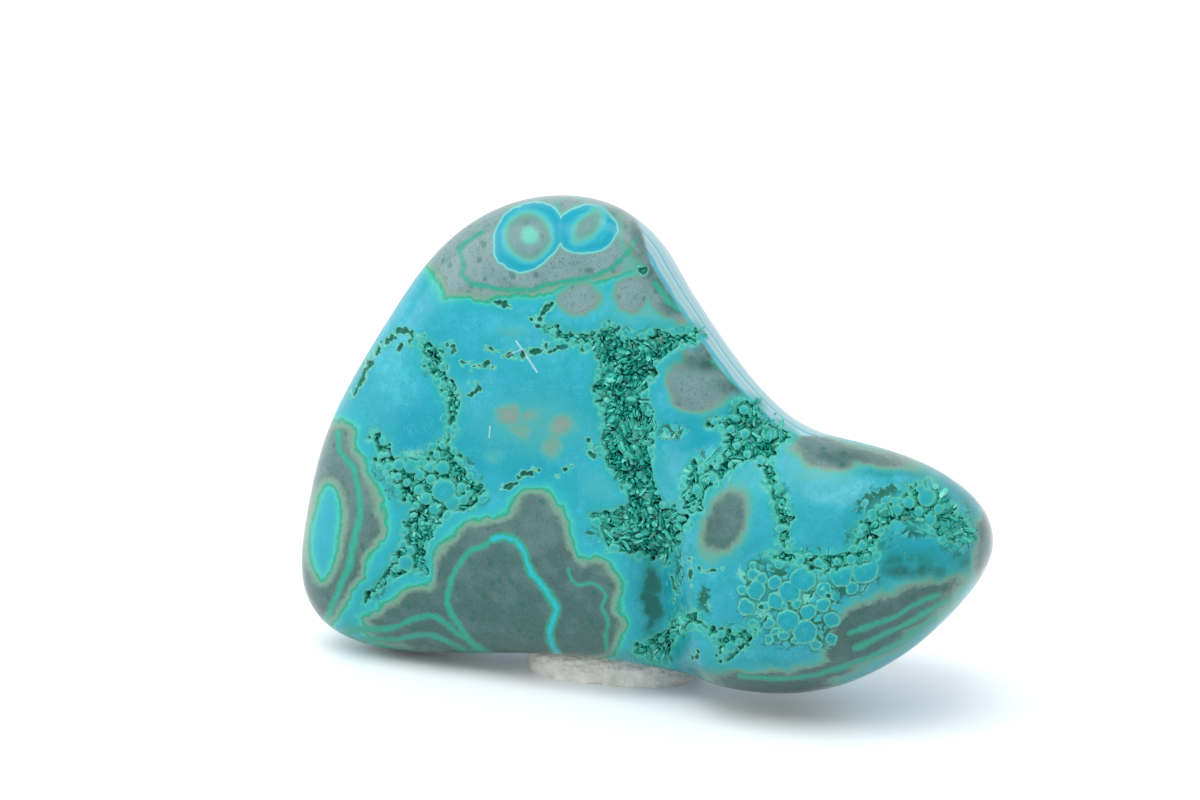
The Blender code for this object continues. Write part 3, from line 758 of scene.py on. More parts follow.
# Eyes of ringed mineral on the back: centre and radius in millimetres.
BACK_EYES = (
    (-21.0, 17.0, 34.0, 8.5), (6.0, 18.0, 17.0, 6.5), (25.0, 14.0, 13.0, 5.5), (-34.0, 10.0, 17.0, 6.0),
    (-4.0, 15.0, 44.0, 5.5), (-14.0, 17.5, 13.0, 5.0), (38.0, 6.0, 20.0, 4.5),
)
NOWHERE = -30.0
NEVER = 12.0
# No hollow reaches faces of the stone that lie further back than this.
HOLLOW_BACK = 2.0


def spot_falls(pixels, spots):
    for u, v, across, down, strength in spots:
        share = ((pixels[:, 0] - u) / across) ** 2 + ((pixels[:, 1] - v) / down) ** 2
        yield strength * np.exp(-0.9 * share**1.3)


def soft_spots(pixels, spots):
    return np.maximum.reduce(list(spot_falls(pixels, spots)))


def noise_at(points, size, offset=0.0):
    move = Vector((offset, offset, offset))
    return np.array([noise.noise(Vector(p) / size + move) for p in points])


def turned_away(points, faces):
    """From 0 where the photograph's camera sees the stone to 1 on its back."""
    mesh = bpy.data.meshes.new("probe")
    mesh.from_pydata([tuple(p) for p in points], [], faces)
    normals = np.empty(len(mesh.vertices) * 3, np.float32)
    mesh.vertex_normals.foreach_get("vector", normals)
    normals = normals.reshape(-1, 3)
    bpy.data.meshes.remove(mesh)
    towards = CAMERA_PLACE - points
    towards /= np.linalg.norm(towards, axis=1)[:, None]
    return 1.0 - smoothstep(-0.55, 0.02, (normals * towards).sum(axis=1))


def line_reach(points, lines):
    """The most that any of the lines reaches past each point, in pixels."""
    return np.maximum.reduce([width - line_distance(points, line) for width, line in lines])


def face_fields(points, faces, outlines, nodules, bites):
    """What the stone's material reads at each vertex. Distances are in millimetres."""
    pixels = to_pixels(points)
    away = turned_away(points, faces)
    keep = 1.0 - away
    wobble = np.stack((noise_at(points, 2.6), noise_at(points, 2.6, 7.3)), axis=1)
    small = np.stack((noise_at(points, 0.9, 1.7), noise_at(points, 0.9, 4.4)), axis=1)
    tiny = noise_at(points, 0.42, 6.1)
    warped = pixels + 5.0 * wobble + 2.4 * small
    bent = pixels + 1.8 * wobble + 1.0 * small

    greys = [
        polygon_distance(warped, rounded(line, closed=True)) for line in (TOP_GREY, LOWER_GREY)
    ]
    left = polygon_distance(warped, rounded(LEFT_GREY, closed=True))
    greys.append(np.minimum(left, -polygon_distance(bent, rounded(LEFT_ORB, closed=True))))
    grey = np.maximum.reduce(greys) / PIXELS_PER_MM
    soft_grey = np.maximum.reduce([
        smoothstep(-1.3 * edge, 1.1 * edge, ellipse_distance(warped, centre, size, turn))
        for centre, size, turn, edge in SOFT_GREYS
    ])

    vein = np.full(len(points), NOWHERE)
    tone = np.zeros(len(points))
    for half_width, line_tone, line in VEINS:
        reach = (half_width - line_distance(bent, rounded(line))) / PIXELS_PER_MM
        tone = np.where(reach > vein, line_tone, tone)
        vein = np.maximum(vein, reach)

    orb = np.maximum.reduce([polygon_distance(bent, rounded(line, closed=True)) for line in ORBS])
    heart = np.maximum.reduce([ellipse_distance(bent, *ellipse) for ellipse in ORB_HEARTS])
    core = disc_distance(bent, ORB_CORES)
    cell = disc_distance(pixels + 2.2 * wobble + 2.2 * small, np.concatenate((np.array(CELLS, float), nodules)))
    broken = 0.5 * noise_at(points, 0.85, 8.3) + 0.3 * tiny
    crack = 0.75 * line_reach(pixels + 3.0 * wobble, CRACKS) / PIXELS_PER_MM - 0.1 + broken
    scratch = line_reach(pixels, SCRATCHES) / PIXELS_PER_MM
    hollow = hollow_distance(pixels, outlines, nodules, bites) / PIXELS_PER_MM + 0.1 * tiny

    beyond = SIDE_EDGE + ((900, 436), (900, 150), (618, 150))
    side = smoothstep(-1.2, 1.2, polygon_distance(pixels, beyond))

    behind_grey = 9.0 * noise_at(points, 19.0, 3.1) + 3.0 * noise_at(points, 7.0, 5.2) - 1.2
    eyes = np.full(len(points), NOWHERE)
    bent_points = points + 0.9 * np.stack([wobble[:, 0], wobble[:, 1], wobble[:, 0]], axis=1)
    for x, y, z, radius in BACK_EYES:
        away_from = np.linalg.norm(bent_points - np.array((x, y, z)), axis=1)
        eyes = np.maximum(eyes, radius - away_from)
    behind = away > 0.3
    return {
        "grey": keep * grey + away * behind_grey,
        "soft_grey": soft_grey * keep,
        # Painted sheen: on the polished face the grey is lighter towards the top, where the light falls; on the
        # back it has one fixed lightness.
        "grey_top_sheen": smoothstep(640.0, 250.0, pixels[:, 1]) * keep + 0.3 * away,
        "vein": vein - NEVER * away,
        "vein_tone": tone,
        "orb": np.where(behind, eyes, orb / PIXELS_PER_MM - NEVER * away),
        "heart": np.where(behind, eyes - 2.0, heart / PIXELS_PER_MM - NEVER * away),
        "core": core / PIXELS_PER_MM - NEVER * away,
        "tan": soft_spots(warped, TAN_SPOTS) * keep,
        "teal_and_shade": soft_spots(warped, TEAL_AND_SHADE_SPOTS) * keep,
        "dark_and_shade": soft_spots(warped, DARK_AND_SHADE_SPOTS) * keep,
        "tone": sum(spot_falls(warped, TONE_AND_SHEEN_SPOTS)) * keep,
        "cell": cell / PIXELS_PER_MM - NEVER * away,
        "cell_zone": soft_spots(pixels, CELL_SPOTS) * keep,
        "crack": crack - NEVER * away,
        "scratch": scratch - NEVER * away,
        "hollow": np.where((away > 0.5) | (points[:, 1] > HOLLOW_BACK), NOWHERE, hollow),
        # The side beyond the crisp edge, where its layers and a painted reflection are drawn.
        "side": side * (1.0 - smoothstep(4.0, 11.0, points[:, 1])),
        "layer": points[:, 1] + 0.25 * wobble[:, 0],
    }


def carve(points, fields):
    """Sinks the hollows and the small pits into the stone."""
    uneven = 1.0 + 0.22 * noise_at(points, 1.1, 2.0)
    depth = 0.86 * HOLLOW_DEPTH * uneven * smoothstep(0.0, 0.5, fields["hollow"])
    rim = 0.16 * smoothstep(-0.5, 0.0, fields["hollow"])
    pit = 0.3 * smoothstep(0.0, 0.3, fields["crack"])
    cells = 0.22 * fields["cell_zone"] * smoothstep(0.25, -0.1, fields["cell"])
    carved = points.copy()
    carved[:, 1] += np.maximum(depth + rim, np.maximum(pit, cells))
    return carved


# Materials

# How the studio shows a plain colour: the share that is lit, and the white gloss over it.
STUDIO_LIGHT = 1.35
STUDIO_GLOSS = 0.022
DARKEST = 0.002


def linear(*rgb):
    """A colour given in 0 to 255 steps of the screen, as linear light."""
    made = [c / 255.0 for c in rgb]
    return tuple(c / 12.92 if c <= 0.04045 else ((c + 0.055) / 1.055) ** 2.4 for c in made) + (1.0,)


def seen(*rgb):
    """The colour of polished stone that the studio shows as this one."""
    return tuple(max(DARKEST, (c - STUDIO_GLOSS) / STUDIO_LIGHT) for c in linear(*rgb)[:3]) + (1.0,)


class Shading:
    """Short ways to add nodes to one material."""

    def __init__(self, name):
        self.material = bpy.data.materials.new(name)
        self.material.use_nodes = True
        self.tree = self.material.node_tree
        self.shader = self.tree.nodes["Principled BSDF"]
        self.place = self.node("ShaderNodeTexCoord").outputs["Object"]
        self.place = self.vector("MULTIPLY", self.place, (1000.0, 1000.0, 1000.0))

    def node(self, kind, **settings):
        made = self.tree.nodes.new(kind)
        for key, value in settings.items():
            setattr(made, key, value)
        return made

    def feed(self, socket, value):
        if isinstance(value, bpy.types.NodeSocket):
            self.tree.links.new(value, socket)
        else:
            socket.default_value = value

    def vector(self, operation, a, b):
        made = self.node("ShaderNodeVectorMath", operation=operation)
        self.feed(made.inputs[0], a)
        self.feed(made.inputs[1], b)
        return made.outputs[0]

    def math(self, operation, a, b=0.0, clamp=False):
        made = self.node("ShaderNodeMath", operation=operation, use_clamp=clamp)
        self.feed(made.inputs[0], a)
        self.feed(made.inputs[1], b)
        return made.outputs[0]

    def read(self, attribute):
        return self.node("ShaderNodeAttribute", attribute_name=attribute).outputs["Fac"]

    def noise(self, per_mm, detail=2.0, rough=0.5, vector=None, distortion=0.0):
        made = self.node("ShaderNodeTexNoise")
        self.feed(made.inputs["Vector"], vector or self.place)
        made.inputs["Scale"].default_value = per_mm
        made.inputs["Detail"].default_value = detail
        made.inputs["Roughness"].default_value = rough
        made.inputs["Distortion"].default_value = distortion
        return made.outputs["Fac"]

    def cells(self, per_mm, feature="F1", randomness=1.0, vector=None, output="Distance"):
        made = self.node("ShaderNodeTexVoronoi", feature=feature)
        self.feed(made.inputs["Vector"], vector or self.place)
        made.inputs["Scale"].default_value = per_mm
        made.inputs["Randomness"].default_value = randomness
        return made.outputs[output]

    def span(self, value, low, high, to_low=0.0, to_high=1.0, smooth=True):
        made = self.node("ShaderNodeMapRange")
        made.interpolation_type = "SMOOTHSTEP" if smooth else "LINEAR"
        self.feed(made.inputs["Value"], value)
        made.inputs["From Min"].default_value = low
        made.inputs["From Max"].default_value = high
        made.inputs["To Min"].default_value = to_low
        made.inputs["To Max"].default_value = to_high
        return made.outputs["Result"]

    def ramp(self, value, low, high, stops):
        """Colour and alpha from stops of (value, screen colour, alpha)."""
        made = self.node("ShaderNodeValToRGB")
        self.feed(made.inputs["Fac"], self.span(value, low, high, smooth=False))
        elements = made.color_ramp.elements
        while len(elements) < len(stops):
            elements.new(0.5)
        for element, (at, colour, alpha) in zip(elements, stops):
            element.position = (at - low) / (high - low)
            element.color = (*seen(*colour)[:3], alpha)
        return made.outputs["Color"], made.outputs["Alpha"]

    def mix(self, share, a, b):
        made = self.node("ShaderNodeMix", data_type="RGBA")
        self.feed(made.inputs["Factor"], share)
        self.feed(made.inputs[6], a)
        self.feed(made.inputs[7], b)
        return made.outputs[2]

    def join(self, x, y, z):
        made = self.node("ShaderNodeCombineXYZ")
        for socket, value in zip(made.inputs, (x, y, z)):
            self.feed(socket, value)
        return made.outputs[0]

    def channel(self, colour):
        made = self.node("ShaderNodeSeparateColor")
        self.feed(made.inputs[0], colour)
        return made.outputs[0]

    def bump(self, height, strength, distance_mm, normal=None):
        made = self.node("ShaderNodeBump")
        made.inputs["Strength"].default_value = strength
        made.inputs["Distance"].default_value = distance_mm * MM
        self.feed(made.inputs["Height"], height)
        if normal is not None:
            self.feed(made.inputs["Normal"], normal)
        return made.outputs["Normal"]


def stone_material():
    s = Shading("polished chrysocolla malachite")
    fine = s.noise(1.6, 4.0, 0.65)
    broad = s.noise(0.11, 3.0, 0.5)
    middle = s.noise(0.4, 4.0, 0.6)
    grain = s.noise(4.5, 3.0, 0.6)
    ragged = s.math("SUBTRACT", fine, 0.5)

    # Blue paler or deeper by the tone spots: the stone's own tone, and painted sheen on the lobe and at the upper
    # left.
    pale = s.math("ADD", s.span(broad, 0.3, 0.7, 0.15, 0.75), s.read("tone"), clamp=True)
    colour = s.mix(pale, seen(14, 160, 182), seen(84, 192, 212))
    colour = s.mix(s.span(middle, 0.42, 0.66, 0.0, 0.5), colour, seen(34, 166, 176))
    warped = s.math("MULTIPLY", middle, 5.0)
    bent = s.vector("ADD", s.place, s.join(warped, warped, warped))
    contour = s.math("ABSOLUTE", s.math("SUBTRACT", s.noise(0.16, 4.0, 0.6, vector=bent), 0.52))
    colour = s.mix(s.span(contour, 0.0, 0.012, 0.2, 0.0), colour, seen(124, 210, 218))
    clouds = s.math("ABSOLUTE", s.math("SUBTRACT", s.noise(0.5, 3.0, 0.5, vector=bent), 0.5))
    colour = s.mix(s.span(clouds, 0.0, 0.1, 0.3, 0.0), colour, seen(26, 158, 172))
    colour = s.mix(s.span(grain, 0.4, 0.7, 0.0, 0.3), colour, seen(22, 150, 158))

    tan = s.math("MULTIPLY", s.read("tan"), s.span(fine, 0.2, 0.7, 0.75, 1.25))
    tan_colour, tan_share = s.ramp(tan, 0.0, 1.2, (
        (0.0, (70, 182, 186), 0.0),
        (0.3, (84, 178, 176), 0.7),
        (0.6, (108, 172, 160), 1.0),
        (0.9, (126, 162, 150), 1.0),
        (1.2, (150, 158, 148), 1.0),
    ))
    colour = s.mix(tan_share, colour, tan_colour)
    # Teal of the stone and painted shade in the groove and along the lower edge; the strongest spots turn deep
    # teal.
    teal_and_shade = s.math("MULTIPLY", s.read("teal_and_shade"), s.span(middle, 0.3, 0.6, 0.65, 1.1))
    colour = s.mix(teal_and_shade, colour, seen(16, 140, 138))
    colour = s.mix(s.span(teal_and_shade, 0.7, 1.0, 0.0, 0.8), colour, seen(5, 104, 96))

    # Grey lightness: painted sheen lighter towards the top, with noise mottling.
    grey_sheen_and_mottle = s.math("ADD", s.read("grey_top_sheen"), s.span(middle, 0.3, 0.7, -0.16, 0.16), clamp=True)
    grey_base = s.mix(grey_sheen_and_mottle, seen(80, 112, 108), seen(132, 162, 162))
    speckle = s.math("ADD", s.math("MULTIPLY", grain, 0.6), s.math("MULTIPLY", fine, 0.4))
    grey_base = s.mix(s.span(speckle, 0.48, 0.62, 0.0, 0.42), grey_base, seen(52, 100, 94))
    grey_base = s.mix(s.span(speckle, 0.46, 0.36, 0.0, 0.35), grey_base, seen(124, 142, 138))
    green_specks = s.span(s.cells(0.55), 0.1, 0.3, 0.55, 0.0)
    grey_base = s.mix(green_specks, grey_base, seen(44, 108, 92))

    distance = s.math("ADD", s.read("grey"), s.math("MULTIPLY", ragged, 0.9))
    fringe, fringe_share = s.ramp(distance, -2.0, 2.0, (
        (-2.0, (52, 176, 190), 0.0),
        (-1.2, (48, 172, 184), 0.5),
        (-0.6, (60, 180, 184), 0.85),
        (-0.3, (76, 192, 178), 1.0),
        (-0.12, (56, 176, 146), 1.0),
        (0.05, (64, 158, 132), 1.0),
        (0.25, (112, 168, 146), 1.0),
        (0.7, (124, 158, 142), 1.0),
        (1.2, (112, 140, 132), 1.0),
        (2.0, (100, 130, 124), 1.0),
    ))
    fringe = s.mix(s.span(distance, 0.4, 1.3), fringe, grey_base)
    colour = s.mix(fringe_share, colour, fringe)

    soft = s.math("ADD", s.read("soft_grey"), s.math("MULTIPLY", ragged, s.span(s.read("soft_grey"), 0.0, 0.3, 0.0, 0.5)))
    soft_colour, soft_share = s.ramp(soft, 0.0, 1.0, (
        (0.0, (70, 182, 186), 0.0),
        (0.22, (80, 178, 170), 0.5),
        (0.42, (104, 168, 148), 0.95),
        (0.62, (122, 152, 140), 1.0),
        (1.0, (116, 142, 136), 1.0),
    ))
    soft_colour = s.mix(s.span(soft, 0.5, 0.8), soft_colour, grey_base)
    colour = s.mix(soft_share, colour, soft_colour)
    # Darker patches, with painted shade along the lower edge.
    dark_and_shade = s.math("MULTIPLY", s.read("dark_and_shade"), s.span(middle, 0.3, 0.65, 0.55, 1.0))
    colour = s.mix(dark_and_shade, colour, seen(34, 88, 80))

    vein = s.math("ADD", s.read("vein"), s.math("MULTIPLY", ragged, 0.7))
    vein_colour, _ = s.ramp(s.read("vein_tone"), -1.0, 1.0, (
        (-1.0, (20, 176, 118), 1.0),
        (0.0, (52, 156, 130), 1.0),
        (0.4, (70, 172, 150), 1.0),
        (1.0, (56, 186, 198), 1.0),
    ))
    halo = s.mix(s.span(vein, -0.5, 0.1), seen(84, 140, 124), seen(58, 164, 140))
    vein_colour = s.mix(s.span(vein, 0.05, 0.32), halo, vein_colour)
    colour = s.mix(s.span(vein, -0.45, 0.08), colour, vein_colour)

    orb = s.math("ADD", s.read("orb"), s.math("MULTIPLY", ragged, 0.3))
    rings, rings_share = s.ramp(orb, -0.3, 2.2, (
        (-0.3, (90, 170, 160), 0.0),
        (-0.08, (110, 190, 178), 0.8),
        (0.04, (140, 208, 204), 1.0),
        (0.16, (54, 168, 186), 1.0),
        (0.7, (38, 158, 182), 1.0),
        (1.3, (56, 170, 190), 1.0),
        (2.2, (50, 166, 184), 1.0),
    ))
    colour = s.mix(rings_share, colour, rings)
    heart = s.math("ADD", s.read("heart"), s.math("MULTIPLY", ragged, 0.4))
    hearts, hearts_share = s.ramp(heart, -0.7, 1.6, (
        (-0.7, (70, 180, 192), 0.0),
        (-0.35, (80, 186, 190), 0.8),
        (-0.05, (98, 180, 166), 1.0),
        (0.25, (104, 160, 148), 1.0),
        (0.6, (108, 150, 146), 1.0),
        (1.6, (112, 156, 150), 1.0),
    ))
    hearts = s.mix(s.span(heart, 0.2, 0.9, 0.0, 0.5), hearts, grey_base)
    colour = s.mix(hearts_share, colour, hearts)
    core = s.math("ADD", s.read("core"), s.math("MULTIPLY", ragged, 1.4))
    colour = s.mix(s.span(core, -0.4, 0.6, 0.0, 0.85), colour, seen(106, 204, 182))

    crowd = s.math("ADD", s.read("cell_zone"), s.math("MULTIPLY", ragged, 0.8))
    crowd = s.span(crowd, 0.35, 0.6)
    for per_mm, share in ((0.42, 1.0), (0.75, s.span(middle, 0.48, 0.56))):
        edge = s.cells(per_mm, "DISTANCE_TO_EDGE", vector=bent_by(s, fine, 1.0))
        tint = s.cells(per_mm, "F1", vector=bent_by(s, fine, 1.0), output="Color")
        inside_colour = s.mix(s.channel(tint), seen(30, 156, 166), seen(74, 186, 194))
        pale, gap = 0.3 * per_mm, s.math("MULTIPLY", s.span(middle, 0.35, 0.6), 0.2 * per_mm)
        small_cells = s.mix(s.span(edge, 0.5 * pale, pale), seen(112, 204, 182), inside_colour)
        in_gap = s.math("LESS_THAN", edge, gap)
        small_cells = s.mix(in_gap, small_cells, seen(20, 112, 98))
        colour = s.mix(s.math("MULTIPLY", crowd, share), colour, small_cells)
    cell = s.read("cell")
    gap_share = s.math("MULTIPLY", s.span(cell, -0.5, -0.05), s.math("MULTIPLY", crowd, 0.7))
    colour = s.mix(gap_share, colour, seen(20, 112, 96))
    cell_colour, cell_share = s.ramp(s.math("ADD", cell, s.math("MULTIPLY", ragged, 0.16)), -0.1, 1.2, (
        (-0.1, (60, 170, 150), 0.0),
        (-0.02, (100, 200, 178), 0.9),
        (0.08, (108, 202, 184), 1.0),
        (0.2, (52, 170, 176), 1.0),
        (0.6, (42, 164, 178), 1.0),
        (1.2, (54, 174, 190), 1.0),
    ))
    cell_colour = s.mix(s.span(grain, 0.4, 0.65, 0.0, 0.5), cell_colour, seen(24, 140, 140))
    colour = s.mix(cell_share, colour, cell_colour)

    # The side's layers, their pale bands partly a painted reflection of the softbox.
    bands = s.math("ADD", s.read("layer"), s.math("MULTIPLY", ragged, 0.3))
    side_layers_and_reflection, _ = s.ramp(bands, -11.2, 6.0, (
        (-11.2, (60, 160, 150), 1.0),
        (-10.9, (128, 180, 182), 1.0),
        (-10.2, (146, 188, 192), 1.0),
        (-9.6, (76, 178, 200), 1.0),
        (-9.2, (170, 204, 210), 1.0),
        (-8.4, (150, 196, 204), 1.0),
        (-7.9, (184, 214, 218), 1.0),
        (-7.2, (80, 182, 204), 1.0),
        (-6.7, (166, 200, 206), 1.0),
        (-5.4, (132, 200, 212), 1.0),
        (-4.6, (176, 206, 210), 1.0),
        (-3.0, (120, 190, 202), 1.0),
        (-1.5, (170, 206, 208), 1.0),
        (6.0, (90, 180, 186), 1.0),
    ))
    colour = s.mix(s.read("side"), colour, side_layers_and_reflection)

    crack = s.read("crack")
    pit, pit_share = s.ramp(crack, -0.3, 0.5, (
        (-0.3, (60, 172, 170), 0.0),
        (-0.16, (70, 182, 168), 0.75),
        (-0.02, (120, 204, 184), 0.9),
        (0.08, (36, 138, 118), 1.0),
        (0.25, (22, 108, 92), 1.0),
        (0.5, (60, 158, 136), 1.0),
    ))
    colour = s.mix(pit_share, colour, pit)
    colour = s.mix(s.span(s.read("scratch"), -0.06, 0.04, 0.0, 0.6), colour, seen(206, 232, 234))

    # Round each hollow: a pale band at the rim, the mint edge with a painted highlight; inside, darker towards
    # the floor, painted shade under the crystals.
    rim = s.math("ADD", s.read("hollow"), s.math("MULTIPLY", ragged, 0.5))
    near, near_share = s.ramp(rim, -1.2, 0.6, (
        (-1.2, (50, 172, 178), 0.0),
        (-0.6, (50, 172, 174), 0.4),
        (-0.25, (62, 176, 168), 0.6),
        (-0.08, (92, 194, 174), 0.7),
        (0.06, (60, 164, 142), 1.0),
        (0.25, (30, 118, 102), 1.0),
        (0.6, (16, 84, 72), 1.0),
    ))
    colour = s.mix(near_share, colour, near)

    s.feed(s.shader.inputs["Base Color"], colour)
    inside_hollow = s.span(s.read("hollow"), -0.02, 0.15)
    rough = s.math("MAXIMUM", inside_hollow, s.math("MULTIPLY", crowd, 0.3))
    rough = s.math("MAXIMUM", rough, s.span(crack, -0.05, 0.15, 0.0, 0.8))
    worn = s.span(middle, 0.3, 0.7, 0.15, 0.24)
    s.feed(s.shader.inputs["Roughness"], s.math("ADD", s.math("MULTIPLY", rough, 0.4), worn))
    s.shader.inputs["Specular IOR Level"].default_value = 0.22
    rough_height = s.math("MULTIPLY", s.noise(3.0, 4.0, 0.6), rough)
    s.feed(s.shader.inputs["Normal"], s.bump(rough_height, 0.8, 0.4, s.bump(middle, 0.1, 0.12)))
    return s.material


def bent_by(s, value, amount):
    moved = s.math("MULTIPLY", value, amount)
    return s.vector("ADD", s.place, s.join(moved, moved, moved))


def crystal_material():
    s = Shading("green crystal")
    mottle = s.math("MULTIPLY", s.math("SUBTRACT", s.noise(0.9, 3.0), 0.5), 0.6)
    tone = s.math("ADD", s.read("tone"), mottle)
    # The palest stops are reached by the painted highlight on the tips.
    colour, _ = s.ramp(tone, 0.0, 1.3, (
        (0.0, (36, 136, 120), 1.0),
        (0.4, (44, 164, 146), 1.0),
        (0.7, (58, 186, 168), 1.0),
        (1.0, (92, 206, 188), 1.0),
        (1.3, (150, 226, 208), 1.0),
    ))
    brown = s.span(s.cells(0.28), 0.0, 0.16, 0.8, 0.0)
    colour = s.mix(brown, colour, seen(128, 132, 112))
    # Painted shade: the crystals darker where they lie deeper below the polished face.
    colour = s.mix(s.span(s.read("depth"), 1.5, 3.2, 0.0, 0.85), colour, linear(8, 66, 58))
    s.feed(s.shader.inputs["Base Color"], colour)
    s.shader.inputs["Roughness"].default_value = 0.32
    return s.material


def putty_material():
    s = Shading("putty")
    colour = s.mix(s.span(s.noise(0.5, 4.0, 0.6), 0.3, 0.7), linear(216, 214, 206), linear(244, 242, 236))
    pores = s.math("MULTIPLY", s.span(s.cells(1.3), 0.06, 0.16, 0.8, 0.0), s.span(s.noise(0.4), 0.45, 0.6))
    colour = s.mix(pores, colour, linear(110, 106, 96))
    s.feed(s.shader.inputs["Base Color"], colour)
    s.shader.inputs["Roughness"].default_value = 0.85
    s.feed(s.shader.inputs["Normal"], s.bump(s.noise(2.4, 5.0, 0.65), 0.9, 0.5))
    return s.material


def floor_material():
    s = Shading("floor")
    y = s.node("ShaderNodeSeparateXYZ")
    s.feed(y.inputs[0], s.place)
    # Painted shade: the floor darker towards the front, white far back.
    far = s.span(y.outputs[1], -220.0, 60.0)
    s.feed(s.shader.inputs["Base Color"], s.mix(far, linear(215, 219, 223), linear(250, 252, 255)))
    s.shader.inputs["Roughness"].default_value = 0.5
    return s.material


# Crystals of the hollows

CRYSTAL_SIDES = 6
CRYSTAL_SPACING = 0.36
# How far below the polished face the tips of each layer stand: least and most.
CRYSTAL_LAYERS = ((1.1, 2.1), (0.4, 1.4), (0.05, 1.0))
CRYSTAL_WIDTH = (0.16, 0.42)
CRYSTAL_LENGTH = (0.7, 1.5)

def turned(vectors):
    """An upright frame along each unit vector: two sideways directions and the vector."""
    helper = np.where(np.abs(vectors[:, 2:3]) > 0.8, np.array(((1.0, 0.0, 0.0),)), np.array(((0.0, 0.0, 1.0),)))
    side = np.cross(helper, vectors)
    side /= np.linalg.norm(side, axis=1)[:, None]
    return side, np.cross(vectors, side)


def crystals(tips, lengths, widths, directions, random):
    """Blades with a chisel tip, all in one pair of arrays."""
    sides = CRYSTAL_SIDES
    angles = np.arange(sides) * 2.0 * math.pi / sides
    ring = np.stack((np.cos(angles), 0.45 * np.sin(angles)), axis=1)
    across, up = turned(directions)
    spin = random.uniform(0.0, 2.0 * math.pi, len(tips))
    a = across * np.cos(spin)[:, None] + up * np.sin(spin)[:, None]
    b = -across * np.sin(spin)[:, None] + up * np.cos(spin)[:, None]
    foot = tips - directions * lengths[:, None]
    shoulder = tips - directions * (lengths * random.uniform(0.18, 0.5, len(tips)))[:, None]
    rings = []
    for centre, scale in ((foot, 0.7), (shoulder, 1.0)):
        offset = a[:, None, :] * ring[None, :, :1] + b[:, None, :] * ring[None, :, 1:]
        rings.append(centre[:, None, :] + offset * widths[:, None, None] * scale)
    peak = a * (0.45 * widths)[:, None]
    points = np.concatenate((rings[0], rings[1], (tips + peak)[:, None], (tips - peak)[:, None]), axis=1)
    near, far = 2 * sides, 2 * sides + 1
    faces = [(i, (i + 1) % sides, sides + (i + 1) % sides, sides + i) for i in range(sides)]
    ends = [near, near, far, far, far, near]
    for i in range(sides):
        j = (i + 1) % sides
        if ends[i] == ends[j]:
            faces.append((sides + i, sides + j, ends[i]))
        else:
            faces.append((sides + i, sides + j, ends[j], ends[i]))
    count = points.shape[1]
    all_faces = [tuple(n * count + i for i in face) for n in range(len(tips)) for face in faces]
    return points.reshape(-1, 3), all_faces, count


def druse(name, outline, tree, material, nodules, random):
    """A joined crust of small crystals that fills one hollow nearly up to the polished face."""
    low = np.min(outline, axis=0)
    high = np.max(outline, axis=0)
    points, faces, tones, depths = [], [], [], []
    total = 0
    for top, bottom in CRYSTAL_LAYERS:
        spots = hexagonal_fill(low, high, CRYSTAL_SPACING * PIXELS_PER_MM, random)
        spots += random.normal(0.0, 0.3, spots.shape) * CRYSTAL_SPACING * PIXELS_PER_MM
        inward = np.minimum(polygon_distance(spots, outline), -disc_distance(spots, nodules))
        inward /= PIXELS_PER_MM
        spots, inward = spots[inward > 0.1], inward[inward > 0.1]
        places = place_pixels(tree, spots)
        ahead = places[:, 1] < HOLLOW_BACK
        spots, inward, places = spots[ahead], inward[ahead], places[ahead]
        clump = np.array([noise.noise(Vector((u / 13.0, v / 13.0, 3.0))) for u, v in spots])
        lie = np.array([noise.noise_vector(Vector((u / 16.0, v / 16.0, 9.0))) for u, v in spots])
        share = clamp01(0.5 + 1.0 * clump + random.uniform(-0.4, 0.4, len(spots)))
        depth = (top + (bottom - top) * share) * smoothstep(-0.6, 0.9, inward)
        tips = places + np.array((0.0, 1.0, 0.0)) * depth[:, None]
        directions = 1.6 * lie + random.normal(0.0, 0.42, (len(tips), 3)) + np.array((0.1, -0.8, 0.15))
        directions /= np.linalg.norm(directions, axis=1)[:, None]
        directions[:, 1] = -np.abs(directions[:, 1])
        widths = random.uniform(*CRYSTAL_WIDTH, len(tips))
        lengths = random.uniform(*CRYSTAL_LENGTH, len(tips))
        made, made_faces, count = crystals(tips, lengths, widths, directions, random)
        points.append(made)
        faces += [tuple(total + i for i in face) for face in made_faces]
        total += len(made)
        shade = random.beta(2.2, 2.2, len(tips)) + 0.3 * clump
        # Painted highlight: the shoulders and chisel tips of each crystal are made lighter.
        tip_highlight = np.concatenate((np.zeros(CRYSTAL_SIDES), np.full(CRYSTAL_SIDES, 0.1), (0.3, 0.3)))
        tones.append((shade[:, None] + tip_highlight).ravel())
        # How far each corner lies below the polished face, read for the painted shade.
        depths.append((made.reshape(-1, count, 3)[:, :, 1] - places[:, None, 1]).ravel())
    obj = new_piece(
        name + "_crystals", np.concatenate(points), faces, material,
        {"tone": np.concatenate(tones), "depth": np.concatenate(depths)}, smooth=False,
    )
    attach(obj, "root")
    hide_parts(name)


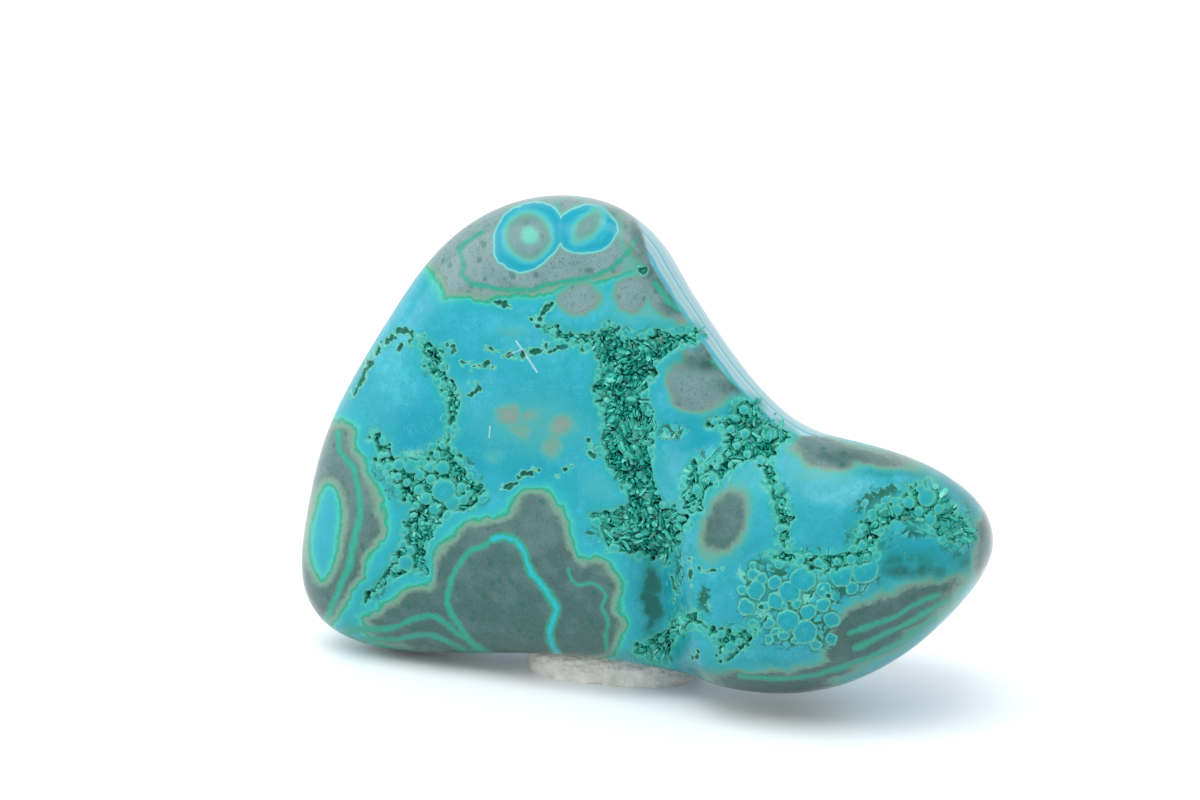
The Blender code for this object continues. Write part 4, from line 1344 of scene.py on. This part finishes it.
def putty(tree, material):
    """The squeezed lump, its top pressed against the underside of the stone."""
    rows, columns = 80, 240
    turn = Matrix.Rotation(math.radians(PAD_TURN), 3, "Z")
    points = []
    for row in range(rows + 1):
        lift = math.pi * (row / rows - 0.5)
        for column in range(columns):
            around = 2.0 * math.pi * column / columns
            ray = Vector((
                math.cos(lift) * math.cos(around), math.cos(lift) * math.sin(around), math.sin(lift)
            ))
            fullness = sum(abs(c) ** PAD_SQUARENESS for c in ray) ** (-1.0 / PAD_SQUARENESS)
            lumps = 0.03 * noise.noise(ray * 3.0) + 0.02 * noise.noise(ray * 9.0) + 0.01 * noise.noise(ray * 30.0)
            half = Vector(c * size * 0.5 for c, size in zip(ray, PAD_SIZE)) * fullness * (0.985 + lumps)
            x, y, z = Vector(PAD_CENTRE) + turn @ half
            hit, _, _, _ = tree.ray_cast(Vector((x, y, -5.0)), Vector((0.0, 0.0, 1.0)))
            if hit is not None:
                z = min(z, hit.z + 0.1)
            points.append((x, y, max(z, 0.0)))
    faces = []
    for row in range(rows):
        for column in range(columns):
            following = (column + 1) % columns
            a, b = row * columns + column, row * columns + following
            faces.append((a, b, b + columns, a + columns))
    obj = new_piece("putty_lump", points, faces, material)
    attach(obj, "root")
    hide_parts("putty_pad")


# Studio

def area_light(name, place, aim, size, power, colour=(1.0, 1.0, 1.0)):
    data = bpy.data.lights.new(name, "AREA")
    data.shape = "RECTANGLE"
    data.size, data.size_y = size
    data.energy = power
    data.color = colour
    light = bpy.data.objects.new(name, data)
    light.location = place
    light.rotation_euler = (Vector(aim) - Vector(place)).to_track_quat("-Z", "Y").to_euler()
    bpy.context.scene.collection.objects.link(light)


def studio():
    mesh = bpy.data.meshes.new("floor")
    half = 4.0
    corners = [(-half, -half, 0.0), (half, -half, 0.0), (half, half, 0.0), (-half, half, 0.0)]
    mesh.from_pydata(corners, [], [(0, 1, 2, 3)])
    mesh.materials.append(floor_material())
    floor = bpy.data.objects.new("floor", mesh)
    bpy.context.scene.collection.objects.link(floor)
    world = bpy.data.worlds.new("studio")
    world.use_nodes = True
    world.node_tree.nodes["Background"].inputs["Color"].default_value = (0.97, 0.985, 1.0, 1.0)
    world.node_tree.nodes["Background"].inputs["Strength"].default_value = 1.05
    bpy.context.scene.world = world
    centre = (0.0, 0.0, 0.025)
    area_light("key", (0.02, -0.32, 0.60), centre, (0.6, 0.5), 3.0)
    area_light("fill", (-0.55, -0.35, 0.25), centre, (0.4, 0.4), 1.2)
    bpy.context.scene.view_settings.view_transform = "Standard"


def camera():
    data = bpy.data.cameras.new("camera")
    data.lens = LENS
    data.sensor_width = SENSOR
    data.clip_start = 0.01
    obj = bpy.data.objects.new("camera", data)
    place = (Vector(CAMERA_PLACE) + ORIGIN_MOVE) * MM
    obj.location = place
    obj.rotation_euler = (-Vector(BACK)).to_track_quat("-Z", "Y").to_euler()
    bpy.context.scene.collection.objects.link(obj)
    bpy.context.scene.camera = obj


def main():
    camera()
    studio()
    outlines = hollow_outlines()
    nodules, bites = rim_nodules(outlines)
    points, faces = stone_surface(outlines, nodules, bites)
    fields = face_fields(points, faces, outlines, nodules, bites)
    stone = new_piece("polished_stone", carve(points, fields), faces, stone_material(), fields)
    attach(stone, "root")
    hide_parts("stone")
    tree = tree_of(*form(4))
    random = np.random.default_rng(SEED)
    green = crystal_material()
    for name, outline in outlines.items():
        druse("druse_" + name, outline, tree, green, nodules, random)
    putty(tree, putty_material())


main()
